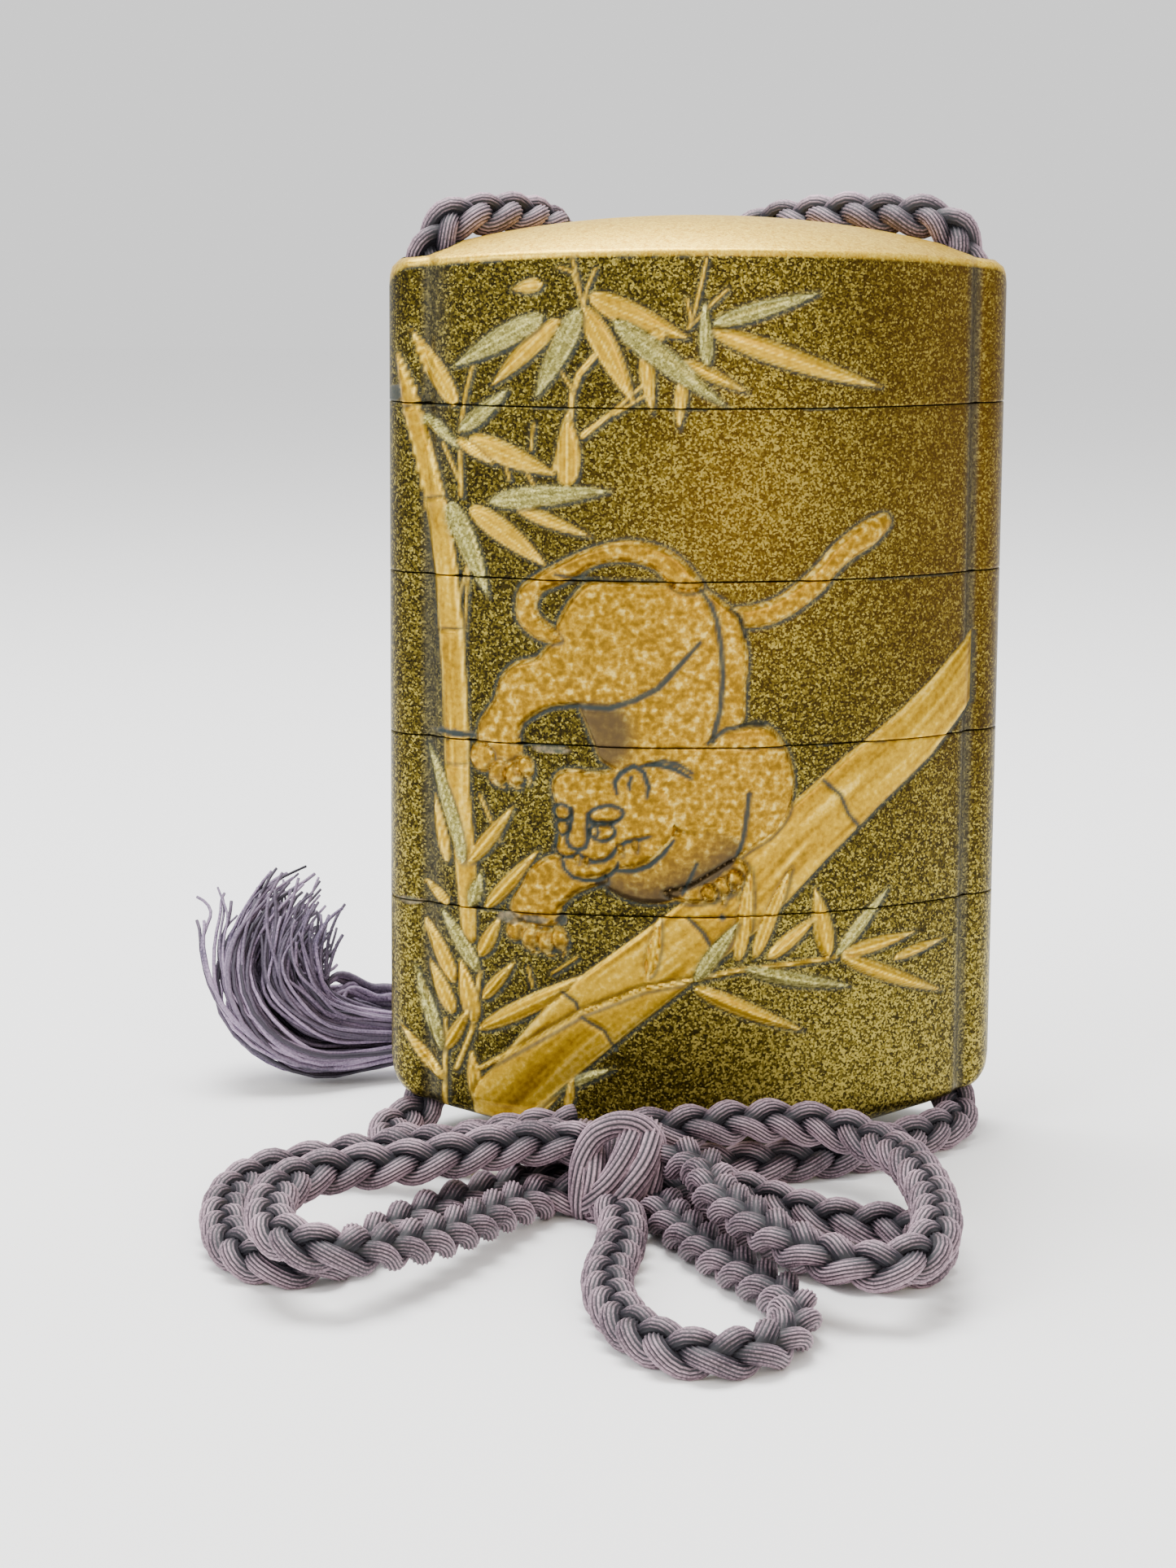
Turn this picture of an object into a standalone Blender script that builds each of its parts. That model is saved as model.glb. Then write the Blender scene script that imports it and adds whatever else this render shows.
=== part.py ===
"""An inro: a stacked lacquer case of four trays and a lid, with the silk cord that holds it shut.

The case stands on the small flat foot of its domed underside. The origin is at the middle of the
foot, the tiger's side faces -Y, +X is the viewer's right and +Z is up. Lengths are in metres.
"""
import math

import bmesh
import bpy
from mathutils import Matrix, Vector

MM = 0.001

# The case seen from above: a lens between two round cord runners
CASE_WIDTH = 58.0 * MM
CASE_DEPTH = 25.0 * MM
RUNNER_RADIUS = 3.8 * MM
PANEL_EDGE_DEPTH = 9.4 * MM
FLUTE_WIDTH = 0.9 * MM
FLUTE_START = 0.15
BORE_RADIUS = 2.2 * MM
FLARE_RADIUS = 3.1 * MM
FLARE_LENGTH = 3.2 * MM

# Heights of the case, along its narrow sides unless named otherwise, with the trays from the bottom up
BASE_HEIGHT = 23.4 * MM
TRAY_HEIGHTS = (15.9 * MM, 15.25 * MM, 15.75 * MM)
LID_RIM_MIDDLE = 14.2 * MM
BASE_RIM_MIDDLE = 2.9 * MM
RIM_BOW = 1.2 * MM
RIM_BOW_GAIN = 0.35
LID_DOME_RISE = 3.0 * MM
BASE_DOME_RISE = 4.1 * MM
LID_DOME_FALL = 0.9
BASE_DOME_FALL = 1.3
LID_CORNER = 1.8 * MM
BASE_CORNER = 3.0 * MM
SEAM_GAP = 0.3 * MM

# Walls, floors and the riser that each piece slips over
WALL = 2.2 * MM
FLOOR = 1.2 * MM
LID_SHELL = 1.6 * MM
RISER_WALL = 0.9 * MM
RISER_HEIGHT = 2.6 * MM
RISER_CLEARANCE = 0.3 * MM
HOLLOW_END = 3.5 * MM
BORE_WALL = 1.85 * MM

# Heights of the raised lacquer above the wall
LEAF_RELIEF = 0.3 * MM
CULM_RELIEF = 0.45 * MM
TIGER_RELIEF = 0.6 * MM
MUSCLE_RELIEF = 0.9 * MM
RELIEF_INSET = 0.02 * MM
FIGURE_ROOT = 2.0 * MM
FIGURE_LEAST = 0.4 * MM

# The panel that the figures are drawn on, in millimetres from its foot to the lid's rim
FIGURES_WIDTH = 58.0
FIGURES_HEIGHT = 84.0
FIGURES_FOOT = 0.5 * MM

# The silk cord
CORD_RADIUS = 1.8 * MM

# How finely the round forms are divided
PANEL_STEPS = 12
FLUTE_STEPS = 2
RUNNER_STEPS = 4
DOME_ROWS = 6
HOLLOW_STEPS = 4
HOLLOW_END_STEPS = 3
CORD_STEP = 10.8 * MM
CORD_TURN = math.radians(36)
BORE_SIDES = 12
TASSEL_SIDES = 10

HALF_WIDTH = CASE_WIDTH / 2
HALF_DEPTH = CASE_DEPTH / 2
RUNNER_X = HALF_WIDTH - RUNNER_RADIUS
FLUTE_X = RUNNER_X + FLUTE_START * RUNNER_RADIUS
PANEL_EDGE_X = FLUTE_X - FLUTE_WIDTH
PANEL_SAG = HALF_DEPTH - PANEL_EDGE_DEPTH / 2
PANEL_RADIUS = (PANEL_EDGE_X ** 2 + PANEL_SAG ** 2) / (2 * PANEL_SAG)
SEAM_HEIGHTS = [BASE_HEIGHT + sum(TRAY_HEIGHTS[:count]) for count in range(4)]
LID_RIM_Z = SEAM_HEIGHTS[-1] + LID_RIM_MIDDLE
HOLLOW_HALF_WIDTH = RUNNER_X - BORE_RADIUS - BORE_WALL
RECESS_WALL = WALL - RISER_WALL - RISER_CLEARANCE

bpy_objects = bpy.data.objects
for old in list(bpy_objects):
    bpy_objects.remove(old, do_unlink=True)


def material(name, colour, roughness, metallic):
    """Return a Principled material of one plain colour."""
    made = bpy.data.materials.new(name)
    made.use_nodes = True
    shader = made.node_tree.nodes["Principled BSDF"]
    shader.inputs["Base Color"].default_value = (*colour, 1.0)
    shader.inputs["Roughness"].default_value = roughness
    shader.inputs["Metallic"].default_value = metallic
    return made


LACQUER = material("gold_lacquer", (0.25, 0.19, 0.045), 0.35, 0.3)
SILK = material("mauve_silk", (0.33, 0.26, 0.30), 0.8, 0.0)


def mesh_object(name, bm, surface=None):
    """Turn a bmesh into a named object with its normals facing out."""
    bmesh.ops.recalc_face_normals(bm, faces=bm.faces)
    mesh = bpy.data.meshes.new(name)
    bm.to_mesh(mesh)
    bm.free()
    made = bpy_objects.new(name, mesh)
    bpy.context.collection.objects.link(made)
    if surface:
        mesh.materials.append(surface)
    return made


def combine(target, tool, operation):
    """Apply one exact Boolean to the target mesh, and drop the tool."""
    step = target.modifiers.new("combine", "BOOLEAN")
    step.operation = operation
    step.object = tool
    step.solver = "EXACT"
    graph = bpy.context.evaluated_depsgraph_get()
    joined = bpy.data.meshes.new_from_object(target.evaluated_get(graph))
    target.modifiers.clear()
    target.data = joined
    bpy_objects.remove(tool, do_unlink=True)


# Plan of the case

def outer_half_depth(x):
    """Half the case's depth at a place across its width: panel, flute, then runner."""
    across = abs(x)
    runner = math.sqrt(max(RUNNER_RADIUS ** 2 - (across - RUNNER_X) ** 2, 0.0))
    if across >= FLUTE_X:
        return runner
    if across <= PANEL_EDGE_X:
        return math.sqrt(PANEL_RADIUS ** 2 - across ** 2) - (PANEL_RADIUS - HALF_DEPTH)
    groove = math.sqrt(RUNNER_RADIUS ** 2 - (FLUTE_X - RUNNER_X) ** 2)
    share = (FLUTE_X - across) / FLUTE_WIDTH
    return groove + (PANEL_EDGE_DEPTH / 2 - groove) * share ** 2


def outer_stations():
    """Places across the width where the case's outline has a corner."""
    right = [PANEL_EDGE_X * step / (PANEL_STEPS / 2) for step in range(1, PANEL_STEPS // 2 + 1)]
    right += [PANEL_EDGE_X + FLUTE_WIDTH * step / FLUTE_STEPS for step in range(1, FLUTE_STEPS + 1)]
    first = math.acos((FLUTE_X - RUNNER_X) / RUNNER_RADIUS)
    for step in range(1, RUNNER_STEPS + 1):
        angle = first * (1 - step / RUNNER_STEPS)
        right.append(RUNNER_X + RUNNER_RADIUS * math.cos(angle))
    return [-x for x in reversed(right)] + [0.0] + right


def inner_half_depth(wall, half_width):
    """Return the half depth of a hollow that leaves this wall inside the panels."""
    def depth(x):
        across = min(abs(x), half_width)
        arc = math.sqrt((PANEL_RADIUS - wall) ** 2 - across ** 2) - (PANEL_RADIUS - HALF_DEPTH)
        past = max(0.0, (across - (half_width - HOLLOW_END)) / HOLLOW_END)
        return arc * math.sqrt(max(1 - past ** 2, 0.0))
    return depth


def inner_stations(half_width):
    """Places across a hollow's width, closer together in its round ends."""
    straight = half_width - HOLLOW_END
    right = [straight * step / HOLLOW_STEPS for step in range(1, HOLLOW_STEPS + 1)]
    turn = math.radians(90 / HOLLOW_END_STEPS)
    right += [straight + HOLLOW_END * math.sin(turn * step) for step in range(1, HOLLOW_END_STEPS + 1)]
    return [-x for x in reversed(right)] + [0.0] + right


def lens_solid(name, stations, half_depth, bottom, top, bottom_rows=1, top_rows=1, surface=None):
    """Close a solid between two height functions over a lens-shaped plan."""
    bm = bmesh.new()

    def sheet(height, rows):
        grid = []
        for x in stations:
            deep = half_depth(x)
            count = rows + 1 if deep > 1e-7 else 1
            places = [(2 * row / rows - 1) * deep if count > 1 else 0.0 for row in range(count)]
            grid.append([bm.verts.new((x, y, height(x, y))) for y in places])
        for left, right in zip(grid, grid[1:]):
            if len(left) == 1 or len(right) == 1:
                tip, line = (left[0], right) if len(left) == 1 else (right[0], left)
                for one, two in zip(line, line[1:]):
                    bm.faces.new((tip, one, two))
            else:
                for row in range(rows):
                    bm.faces.new((left[row], right[row], right[row + 1], left[row + 1]))
        return grid

    low = sheet(bottom, bottom_rows)
    high = sheet(top, top_rows)
    for index in range(len(stations) - 1):
        for end in (0, -1):
            corners = (low[index][end], low[index + 1][end], high[index + 1][end], high[index][end])
            bm.faces.new(corners)
    for below, above in ((low[0], high[0]), (low[-1], high[-1])):
        if len(below) > 1:
            bm.faces.new(below + above[::-1])
    return mesh_object(name, bm, surface)


def level(z):
    """Return a flat height function."""
    return lambda x, y: z


# Domed ends

def corner_drop(x, radius):
    """How far a rim has fallen at x where it rounds over at the narrow side."""
    past = abs(x) - (HALF_WIDTH - radius)
    if past <= 0:
        return 0.0
    return radius - math.sqrt(max(radius ** 2 - past ** 2, 0.0))


def dome(x, y, rise, fall):
    """Height above the rim's middle on a dome that falls off to both rims and both sides."""
    deep = max(outer_half_depth(x), 1e-6)
    share = min(abs(y) / deep, 1.0)
    across = (x / HALF_WIDTH) ** 2
    rim = -RIM_BOW * across * (1 + RIM_BOW_GAIN * across)
    crest = rise * max(1 - fall * across, 0.0)
    return rim + crest * (1 - share ** 2)


def lid_top(x, y):
    """Upper surface of the lid."""
    return LID_RIM_Z + dome(x, y, LID_DOME_RISE, LID_DOME_FALL) - corner_drop(x, LID_CORNER)


def base_under(x, y):
    """Lower surface of the lowest tray, before its foot is cut flat."""
    return BASE_RIM_MIDDLE - dome(x, y, BASE_DOME_RISE, BASE_DOME_FALL) + corner_drop(x, BASE_CORNER)


# Raised lacquer: each figure is an outline in the plane of the front, in millimetres

def disc(x, z, radius_x, radius_z=None, turn=0.0, sides=12):
    """An ellipse, turned by degrees."""
    radius_z = radius_z or radius_x
    swing = math.radians(turn)
    points = []
    for side in range(sides):
        angle = 2 * math.pi * side / sides
        along, up = radius_x * math.cos(angle), radius_z * math.sin(angle)
        points.append((x + along * math.cos(swing) - up * math.sin(swing),
                       z + along * math.sin(swing) + up * math.cos(swing)))
    return points


def leaf(x, z, turn, length, width):
    """A bamboo leaf from its stalk to its tip: widest a third of the way along."""
    swing = math.radians(turn)
    profile = ((-0.04, 0.1), (0.16, 0.8), (0.36, 1.0), (0.68, 0.6), (1.0, 0.06))
    side = [(length * along, width / 2 * wide) for along, wide in profile]
    loop = side + [(along, -wide) for along, wide in reversed(side)]
    return [(x + a * math.cos(swing) - w * math.sin(swing),
             z + a * math.sin(swing) + w * math.cos(swing)) for a, w in loop]


def band(route):
    """A limb, tail or culm along a route of (x, z, width)."""
    left, right = [], []
    for index, (x, z, width) in enumerate(route):
        before, after = route[max(index - 1, 0)], route[min(index + 1, len(route) - 1)]
        run = Vector((after[0] - before[0], after[1] - before[1])).normalized()
        left.append((x - run.y * width / 2, z + run.x * width / 2))
        right.append((x + run.y * width / 2, z - run.x * width / 2))
    return left + right[::-1]


# Sprays of leaves: where the stalks meet, then each leaf's direction, length and width
SPRAYS = (
    (-14.5, 78.0, ((-149, 9.4, 2.0), (-134, 8.6, 1.8))),
    (-11.8, 79.0, ((-116, 9.2, 2.0), (-62, 9.9, 2.0), (-23, 8.3, 2.0))),
    (-9.2, 77.6, ((-37, 12.7, 2.1), (20, 4.0, 0.9))),
    (-6.4, 74.9, ((-83, 5.5, 1.3),)),
    (-3.0, 72.7, ((-94, 4.4, 1.0),)),
    (-0.5, 77.2, ((-17, 17.0, 2.0), (16, 10.1, 1.4), (180, 5.0, 1.0))),
    (-0.8, 73.7, ((93, 5.9, 1.1), (-14, 5.0, 1.0))),
    (-22.7, 67.6, ((122, 9.0, 1.6), (43, 5.7, 1.4))),
    (-22.0, 66.7, ((-22, 8.4, 1.9), (-37, 3.8, 1.0))),
    (-13.3, 62.6, ((90, 6.8, 2.1),)),
    (-20.2, 60.9, ((7, 10.7, 1.8), (-20, 8.6, 1.2))),
    (-22.2, 60.6, ((-37, 8.6, 1.9), (-70, 9.0, 1.8))),
    (-22.4, 27.0, ((106, 11.4, 1.3), (55, 7.0, 1.2))),
    (-20.6, 23.0, ((51, 7.4, 1.2), (77, 3.5, 1.0))),
    (-21.4, 16.8, ((120, 6.6, 1.3), (65, 4.6, 1.0))),
    (-21.0, 11.4, ((29, 14.0, 1.7), (53, 5.0, 1.0), (102, 6.2, 1.5))),
    (-24.0, 9.0, ((112, 8.0, 1.2), (62, 4.8, 1.0))),
    (-20.6, 4.0, ((22, 12.4, 1.6), (98, 5.4, 1.1))),
    (2.9, 18.4, ((83, 8.8, 1.5), (66, 9.2, 1.4), (37, 7.6, 1.3))),
    (3.4, 17.8, ((-12, 10.3, 1.3),)),
    (12.2, 18.5, ((101, 6.8, 1.8), (50, 7.8, 1.2), (11, 7.8, 1.2), (-23, 11.6, 1.4))),
    (-1.3, 16.4, ((-23, 11.2, 1.5), (55, 6.9, 1.5))),
    (-5.6, 17.3, ((80, 5.8, 1.0),)),
)
LEFT_CULM = ((-28.3, 74.2, 0.4), (-27.4, 71.0, 1.4), (-26.2, 66.2, 1.6), (-25.0, 61.2, 1.8),
             (-24.1, 54.3, 2.0), (-23.6, 48.0, 2.1), (-23.2, 38.6, 2.2), (-22.7, 30.0, 2.0),
             (-22.0, 21.0, 1.6))
GREAT_CULM = ((-19.0, 4.2, 5.4), (-11.4, 12.6, 6.8), (-2.4, 19.4, 6.6), (6.8, 28.6, 6.2),
              (14.0, 35.2, 6.0), (19.8, 39.6, 5.8), (24.6, 44.4, 4.2))
TWIG = ((-20.8, 7.6, 0.5), (-11.7, 13.7, 0.5), (-6.2, 16.1, 0.5), (2.7, 17.7, 0.5), (12.3, 18.5, 0.4))

TIGER_TAIL = ((-1.6, 53.6, 1.6), (-4.2, 55.6, 1.8), (-8.2, 56.8, 1.9), (-12.6, 55.4, 1.9),
              (-16.2, 53.0, 1.9), (-16.4, 50.4, 1.9), (-14.6, 48.8, 1.8))
TIGER_TAIL_END = ((1.6, 50.8, 2.2), (5.2, 51.1, 2.1), (8.6, 53.2, 2.0), (12.2, 56.8, 1.9),
                  (16.2, 59.4, 1.0))
TIGER_BACK = ((-0.9, 53.2, 3.6), (0.9, 49.0, 5.0), (0.6, 43.0, 5.4), (-0.6, 38.0, 6.0))
TIGER_TRUNK = ((-6.6, 50.0, 11.0), (-5.6, 42.6, 12.6), (-4.6, 36.6, 10.0), (-3.2, 31.0, 9.0))
TIGER_HIND_LEG = ((-9.0, 48.2, 8.4), (-14.6, 44.6, 5.2), (-18.2, 42.2, 4.4), (-19.2, 37.0, 3.8))
TIGER_FORELEG = ((-9.6, 26.4, 3.4), (-13.4, 26.0, 4.2), (-16.2, 23.8, 4.4), (-16.2, 20.6, 4.6))
TIGER_TURNED_LEG = ((4.6, 31.6, 4.0), (2.0, 28.2, 3.4), (-1.4, 25.6, 2.6))
TIGER_DISCS = ((-6.2, 49.4, 5.8, 4.8, 0), (-19.1, 36.3, 2.6, 2.1, 10), (-16.2, 20.6, 2.9, 1.9, -30),
               (0.6, 26.3, 2.6, 1.3, 25), (-5.4, 27.2, 6.6, 3.4, 0))
MUSCLE_DISCS = ((-8.0, 48.6, 5.6, 3.6, -15), (3.8, 35.2, 4.0, 5.6, 8), (-10.6, 31.8, 3.9, 4.9, 0),
                (-4.6, 32.2, 4.6, 4.6, 0), (-11.4, 28.4, 2.6, 2.0, 0))

# The back carries bamboo alone
BACK_CULM = ((16.5, 5.0, 3.6), (17.6, 24.0, 3.5), (18.4, 44.0, 3.3), (18.8, 64.0, 3.0),
             (19.0, 75.0, 2.6))
BACK_SPRAYS = (
    (15.8, 62.0, ((140, 9.0, 1.8), (165, 10.0, 1.9), (200, 9.0, 1.8), (112, 6.5, 1.4))),
    (14.6, 36.0, ((150, 8.5, 1.7), (180, 9.5, 1.8), (215, 7.5, 1.6))),
    (13.8, 13.0, ((120, 7.5, 1.6), (150, 9.0, 1.7))),
    (-19.5, 70.0, ((-20, 10.0, 1.9), (-55, 9.0, 1.8), (-95, 8.0, 1.7))),
)


def spray_outlines(sprays):
    """Every leaf outline of a list of sprays."""
    return [leaf(x, z, *shape) for x, z, leaves in sprays for shape in leaves]


FRONT_FIGURES = (
    (LEAF_RELIEF, spray_outlines(SPRAYS) + [band(TWIG)]),
    (CULM_RELIEF, [band(LEFT_CULM), band(GREAT_CULM)]),
    (TIGER_RELIEF, [band(route) for route in (TIGER_TAIL, TIGER_TAIL_END, TIGER_BACK, TIGER_TRUNK,
                                              TIGER_HIND_LEG, TIGER_FORELEG, TIGER_TURNED_LEG)]
     + [disc(*shape) for shape in TIGER_DISCS]),
    (MUSCLE_RELIEF, [disc(*shape) for shape in MUSCLE_DISCS]),
)
BACK_FIGURES = ((LEAF_RELIEF, spray_outlines(BACK_SPRAYS)), (CULM_RELIEF, [band(BACK_CULM)]))


def on_case(outline):
    """Fit a drawn outline to the case: across its width, and up from the foot to the lid's rim."""
    across = CASE_WIDTH / FIGURES_WIDTH
    up = (LID_RIM_Z - FIGURES_FOOT) / FIGURES_HEIGHT
    return [(x * across, FIGURES_FOOT + z * up) for x, z in outline]


def figure_prism(outline, facing, number):
    """Extrude an outline straight through one side of the case, each a little deeper than the last."""
    bm = bmesh.new()
    near = facing * (FIGURE_ROOT + number * RELIEF_INSET)
    far = facing * (CASE_DEPTH + number * RELIEF_INSET)
    loops = [[bm.verts.new((x, y, z)) for x, z in outline] for y in (near, far)]
    bm.faces.new(loops[0])
    bm.faces.new(loops[1])
    count = len(outline)
    for index in range(count):
        after = (index + 1) % count
        bm.faces.new((loops[0][index], loops[0][after], loops[1][after], loops[1][index]))
    return mesh_object("figure", bm)


def add_relief(body, low, high, facing, figures):
    """Raise on the body every figure that crosses its height, one height of relief at a time."""
    for number, (height, outlines) in enumerate(figures, start=1):
        shapes = None
        for count, outline in enumerate(map(on_case, outlines)):
            heights = [z for _, z in outline]
            if max(heights) < low + FIGURE_LEAST or min(heights) > high - FIGURE_LEAST:
                continue
            prism = figure_prism(outline, facing, count)
            if shapes is None:
                shapes = prism
            else:
                combine(shapes, prism, "UNION")
        if shapes is None:
            continue
        inset = number * RELIEF_INSET
        raised = lens_solid("raised", outer_stations()[1:-1],
                            lambda x, extra=height: outer_half_depth(x) + extra,
                            level(low + inset), level(high - inset))
        combine(raised, shapes, "INTERSECT")
        combine(body, raised, "UNION")


def add_both_reliefs(body, low, high):
    """Raise the figures of the front and the back that cross these heights."""
    add_relief(body, low, high, -1, FRONT_FIGURES)
    add_relief(body, low, high, 1, BACK_FIGURES)


# Pieces of the case

def hollow(body, wall, half_width, low, high, top=None, top_rows=1):
    """Cut a lens-shaped hollow into a body."""
    cutter = lens_solid("hollow", inner_stations(half_width), inner_half_depth(wall, half_width),
                        level(low), top or level(high), top_rows=top_rows)
    combine(body, cutter, "DIFFERENCE")


def bores(body, low, high, flare_at=None, flare_way=0):
    """Drill the two cord channels, with a flared mouth where one is asked for."""
    for side in (-1, 1):
        bm = bmesh.new()
        bmesh.ops.create_cone(bm, cap_ends=True, segments=BORE_SIDES, radius1=BORE_RADIUS,
                              radius2=BORE_RADIUS, depth=high - low)
        drill = mesh_object("drill", bm)
        drill.data.transform(shift(side * RUNNER_X, 0, (low + high) / 2))
        combine(body, drill, "DIFFERENCE")
        if flare_way:
            bm = bmesh.new()
            past = FLARE_LENGTH / 2
            wide = FLARE_RADIUS + (FLARE_RADIUS - BORE_RADIUS) * past / FLARE_LENGTH
            radii = (wide, BORE_RADIUS) if flare_way < 0 else (BORE_RADIUS, wide)
            depth = FLARE_LENGTH + past
            bmesh.ops.create_cone(bm, cap_ends=True, segments=BORE_SIDES, radius1=radii[0],
                                  radius2=radii[1], depth=depth)
            flare = mesh_object("flare", bm)
            middle = flare_at + flare_way * (past - FLARE_LENGTH) / 2
            flare.data.transform(shift(side * RUNNER_X, 0, middle))
            combine(body, flare, "DIFFERENCE")


def shift(x, y, z):
    """A matrix that moves a mesh."""
    return Matrix.Translation((x, y, z))


def finish(body, name):
    """Name a piece of the case and dress it in lacquer."""
    body.name = name
    body.data.name = name
    body.data.materials.clear()
    body.data.materials.append(LACQUER)
    return body


def riser(body, high):
    """Add the collar that the piece above slips over."""
    half_width = HOLLOW_HALF_WIDTH + RISER_WALL
    collar = lens_solid("collar", inner_stations(half_width),
                        inner_half_depth(WALL - RISER_WALL, half_width),
                        level(high - FLOOR), level(high + RISER_HEIGHT))
    combine(body, collar, "UNION")


def recess(body, low):
    """Cut the hollow below a piece's floor that slips over the riser under it."""
    half_width = HOLLOW_HALF_WIDTH + RISER_WALL + RISER_CLEARANCE
    hollow(body, RECESS_WALL, half_width, low - FLOOR, low + RISER_HEIGHT)


def tray(name, low, high):
    """A middle tray: a recess below its floor, a compartment above it, a riser on top."""
    body = lens_solid(name, outer_stations(), outer_half_depth, level(low), level(high))
    add_both_reliefs(body, low, high)
    riser(body, high)
    recess(body, low)
    hollow(body, WALL, HOLLOW_HALF_WIDTH, low + RISER_HEIGHT + FLOOR, high + 2 * RISER_HEIGHT)
    bores(body, low - FLOOR, high + FLOOR)
    return finish(body, name)


def base_tray(name, high):
    """The lowest tray, domed below, with its flat foot; its relief stops where the rim rounds under."""
    body = lens_solid(name, outer_stations(), outer_half_depth, base_under, level(high),
                      bottom_rows=DOME_ROWS)
    add_both_reliefs(body, BASE_RIM_MIDDLE + RIM_BOW, high)
    riser(body, high)
    hollow(body, WALL, HOLLOW_HALF_WIDTH, BASE_RIM_MIDDLE + FLOOR, high + 2 * RISER_HEIGHT)
    bores(body, -FLOOR, high + FLOOR, flare_at=base_under(RUNNER_X, 0.0), flare_way=-1)
    bm = bmesh.new()
    bmesh.ops.create_cube(bm, size=2 * CASE_WIDTH)
    ground = mesh_object("ground", bm)
    ground.data.transform(shift(0, 0, -CASE_WIDTH))
    combine(body, ground, "DIFFERENCE")
    return finish(body, name)


def lid_piece(name, low):
    """The domed lid: it slips over the top tray's riser, and its hollow follows the dome."""
    body = lens_solid(name, outer_stations(), outer_half_depth, level(low), lid_top,
                      top_rows=DOME_ROWS)
    add_both_reliefs(body, low, LID_RIM_Z - RIM_BOW - LID_CORNER / 2)
    recess(body, low)
    hollow(body, WALL, HOLLOW_HALF_WIDTH, low + RISER_HEIGHT - FLOOR, None,
           top=lambda x, y: lid_top(x, y) - LID_SHELL, top_rows=4)
    mouth = lid_top(RUNNER_X, 0.0)
    bores(body, low - FLOOR, mouth + FLOOR, flare_at=mouth, flare_way=1)
    return finish(body, name)


def case_pieces():
    """The stack, from the lid down to the base."""
    half_gap = SEAM_GAP / 2
    lid_piece("lid", SEAM_HEIGHTS[3] + half_gap)
    for number, index in ((1, 3), (2, 2), (3, 1)):
        tray("case_%d" % number, SEAM_HEIGHTS[index - 1] + half_gap, SEAM_HEIGHTS[index] - half_gap)
    base_tray("case_4", SEAM_HEIGHTS[0] - half_gap)


# The cord: each route is a list of points in millimetres, chosen along the real cord

BORE_X = RUNNER_X / MM
LEFT_ROUTE = (
    (-27.2, 20.6, 1.95), (-20.5, 19.6, 1.95), (-14.5, 17.5, 2.8), (-10.5, 15.8, 7.0),
    (-9.0, 15.0, 14.0), (-8.0, 14.9, 35.0), (-9.0, 14.6, 60.0), (-10.5, 14.3, 76.0),
    (-11.3, 14.1, 82.6), (-11.9, 12.9, 85.6), (-13.4, 10.0, 86.7), (-15.9, 6.4, 87.4),
    (-19.5, 3.2, 87.5), (-23.0, 1.1, 87.0), (-BORE_X, 0.1, 84.1), (-BORE_X, 0.0, 79.0),
    (-BORE_X, 0.0, 45.0), (-BORE_X, 0.0, 10.0), (-BORE_X, 0.0, 6.0), (-25.5, -0.4, 3.95),
    (-26.4, -1.6, 2.5), (-27.7, -3.3, 1.95), (-29.3, -6.4, 1.9), (-29.2, -10.0, 1.9),
    (-26.6, -13.2, 2.1), (-22.8, -15.2, 3.0), (-18.4, -18.6, 4.7), (-16.5, -20.6, 5.5),
    (-14.9, -21.0, 5.75))
RIGHT_ROUTE = (
    (-27.2, 22.5, 5.8), (-20.0, 22.6, 5.7), (-14.5, 22.2, 5.9), (-10.0, 20.9, 6.8),
    (-6.2, 18.4, 9.8), (-3.8, 16.0, 16.0), (-2.5, 15.4, 28.0), (-1.0, 15.4, 48.0),
    (1.5, 15.3, 66.0), (4.0, 15.0, 78.0), (6.0, 14.4, 84.0), (7.8, 13.0, 86.5),
    (10.6, 10.4, 87.0), (14.5, 6.6, 87.6), (19.5, 3.2, 87.5), (23.0, 1.1, 87.0),
    (BORE_X, 0.1, 84.1), (BORE_X, 0.0, 79.0), (BORE_X, 0.0, 45.0), (BORE_X, 0.0, 10.0),
    (BORE_X, 0.0, 6.0), (25.3, -0.5, 3.95), (25.4, -2.0, 2.5), (25.3, -4.1, 1.95),
    (23.9, -7.8, 1.9), (19.8, -12.4, 1.9), (13.5, -17.0, 1.9), (5.5, -20.0, 1.9),
    (-1.0, -21.0, 1.9), (-6.1, -21.0, 1.9))
LEFT_OUTER_ROUTE = (
    (-14.9, -24.9, 5.75), (-17.5, -24.4, 5.6), (-21.5, -23.0, 5.0), (-28.1, -20.4, 4.0),
    (-35.2, -18.4, 2.5), (-40.2, -19.4, 1.9), (-43.3, -24.0, 1.9), (-44.7, -31.0, 1.9),
    (-44.7, -38.0, 1.9), (-43.7, -43.6, 1.9), (-41.3, -47.3, 1.9), (-38.0, -47.9, 1.9),
    (-35.0, -45.4, 1.9), (-32.4, -41.4, 1.9), (-29.4, -36.9, 1.9), (-25.8, -32.4, 1.9),
    (-22.0, -28.6, 1.9), (-18.8, -25.5, 1.9), (-16.8, -23.9, 1.9), (-14.9, -23.6, 1.9))
LEFT_INNER_ROUTE = (
    (-14.9, -28.8, 6.5), (-16.6, -28.8, 6.6), (-19.6, -29.4, 6.6), (-22.8, -30.5, 6.4),
    (-26.3, -31.7, 6.2), (-30.2, -32.3, 5.9), (-34.3, -33.2, 5.8), (-38.0, -35.6, 5.8),
    (-40.3, -40.6, 5.8), (-41.0, -46.6, 5.8), (-40.4, -51.8, 5.8), (-38.4, -55.2, 5.8),
    (-35.3, -55.9, 5.4), (-31.7, -52.9, 4.7), (-28.1, -48.3, 3.9), (-24.3, -42.3, 3.2),
    (-20.8, -36.0, 2.7), (-18.0, -31.4, 2.2), (-16.4, -29.5, 1.9), (-14.9, -29.1, 1.9))
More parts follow.
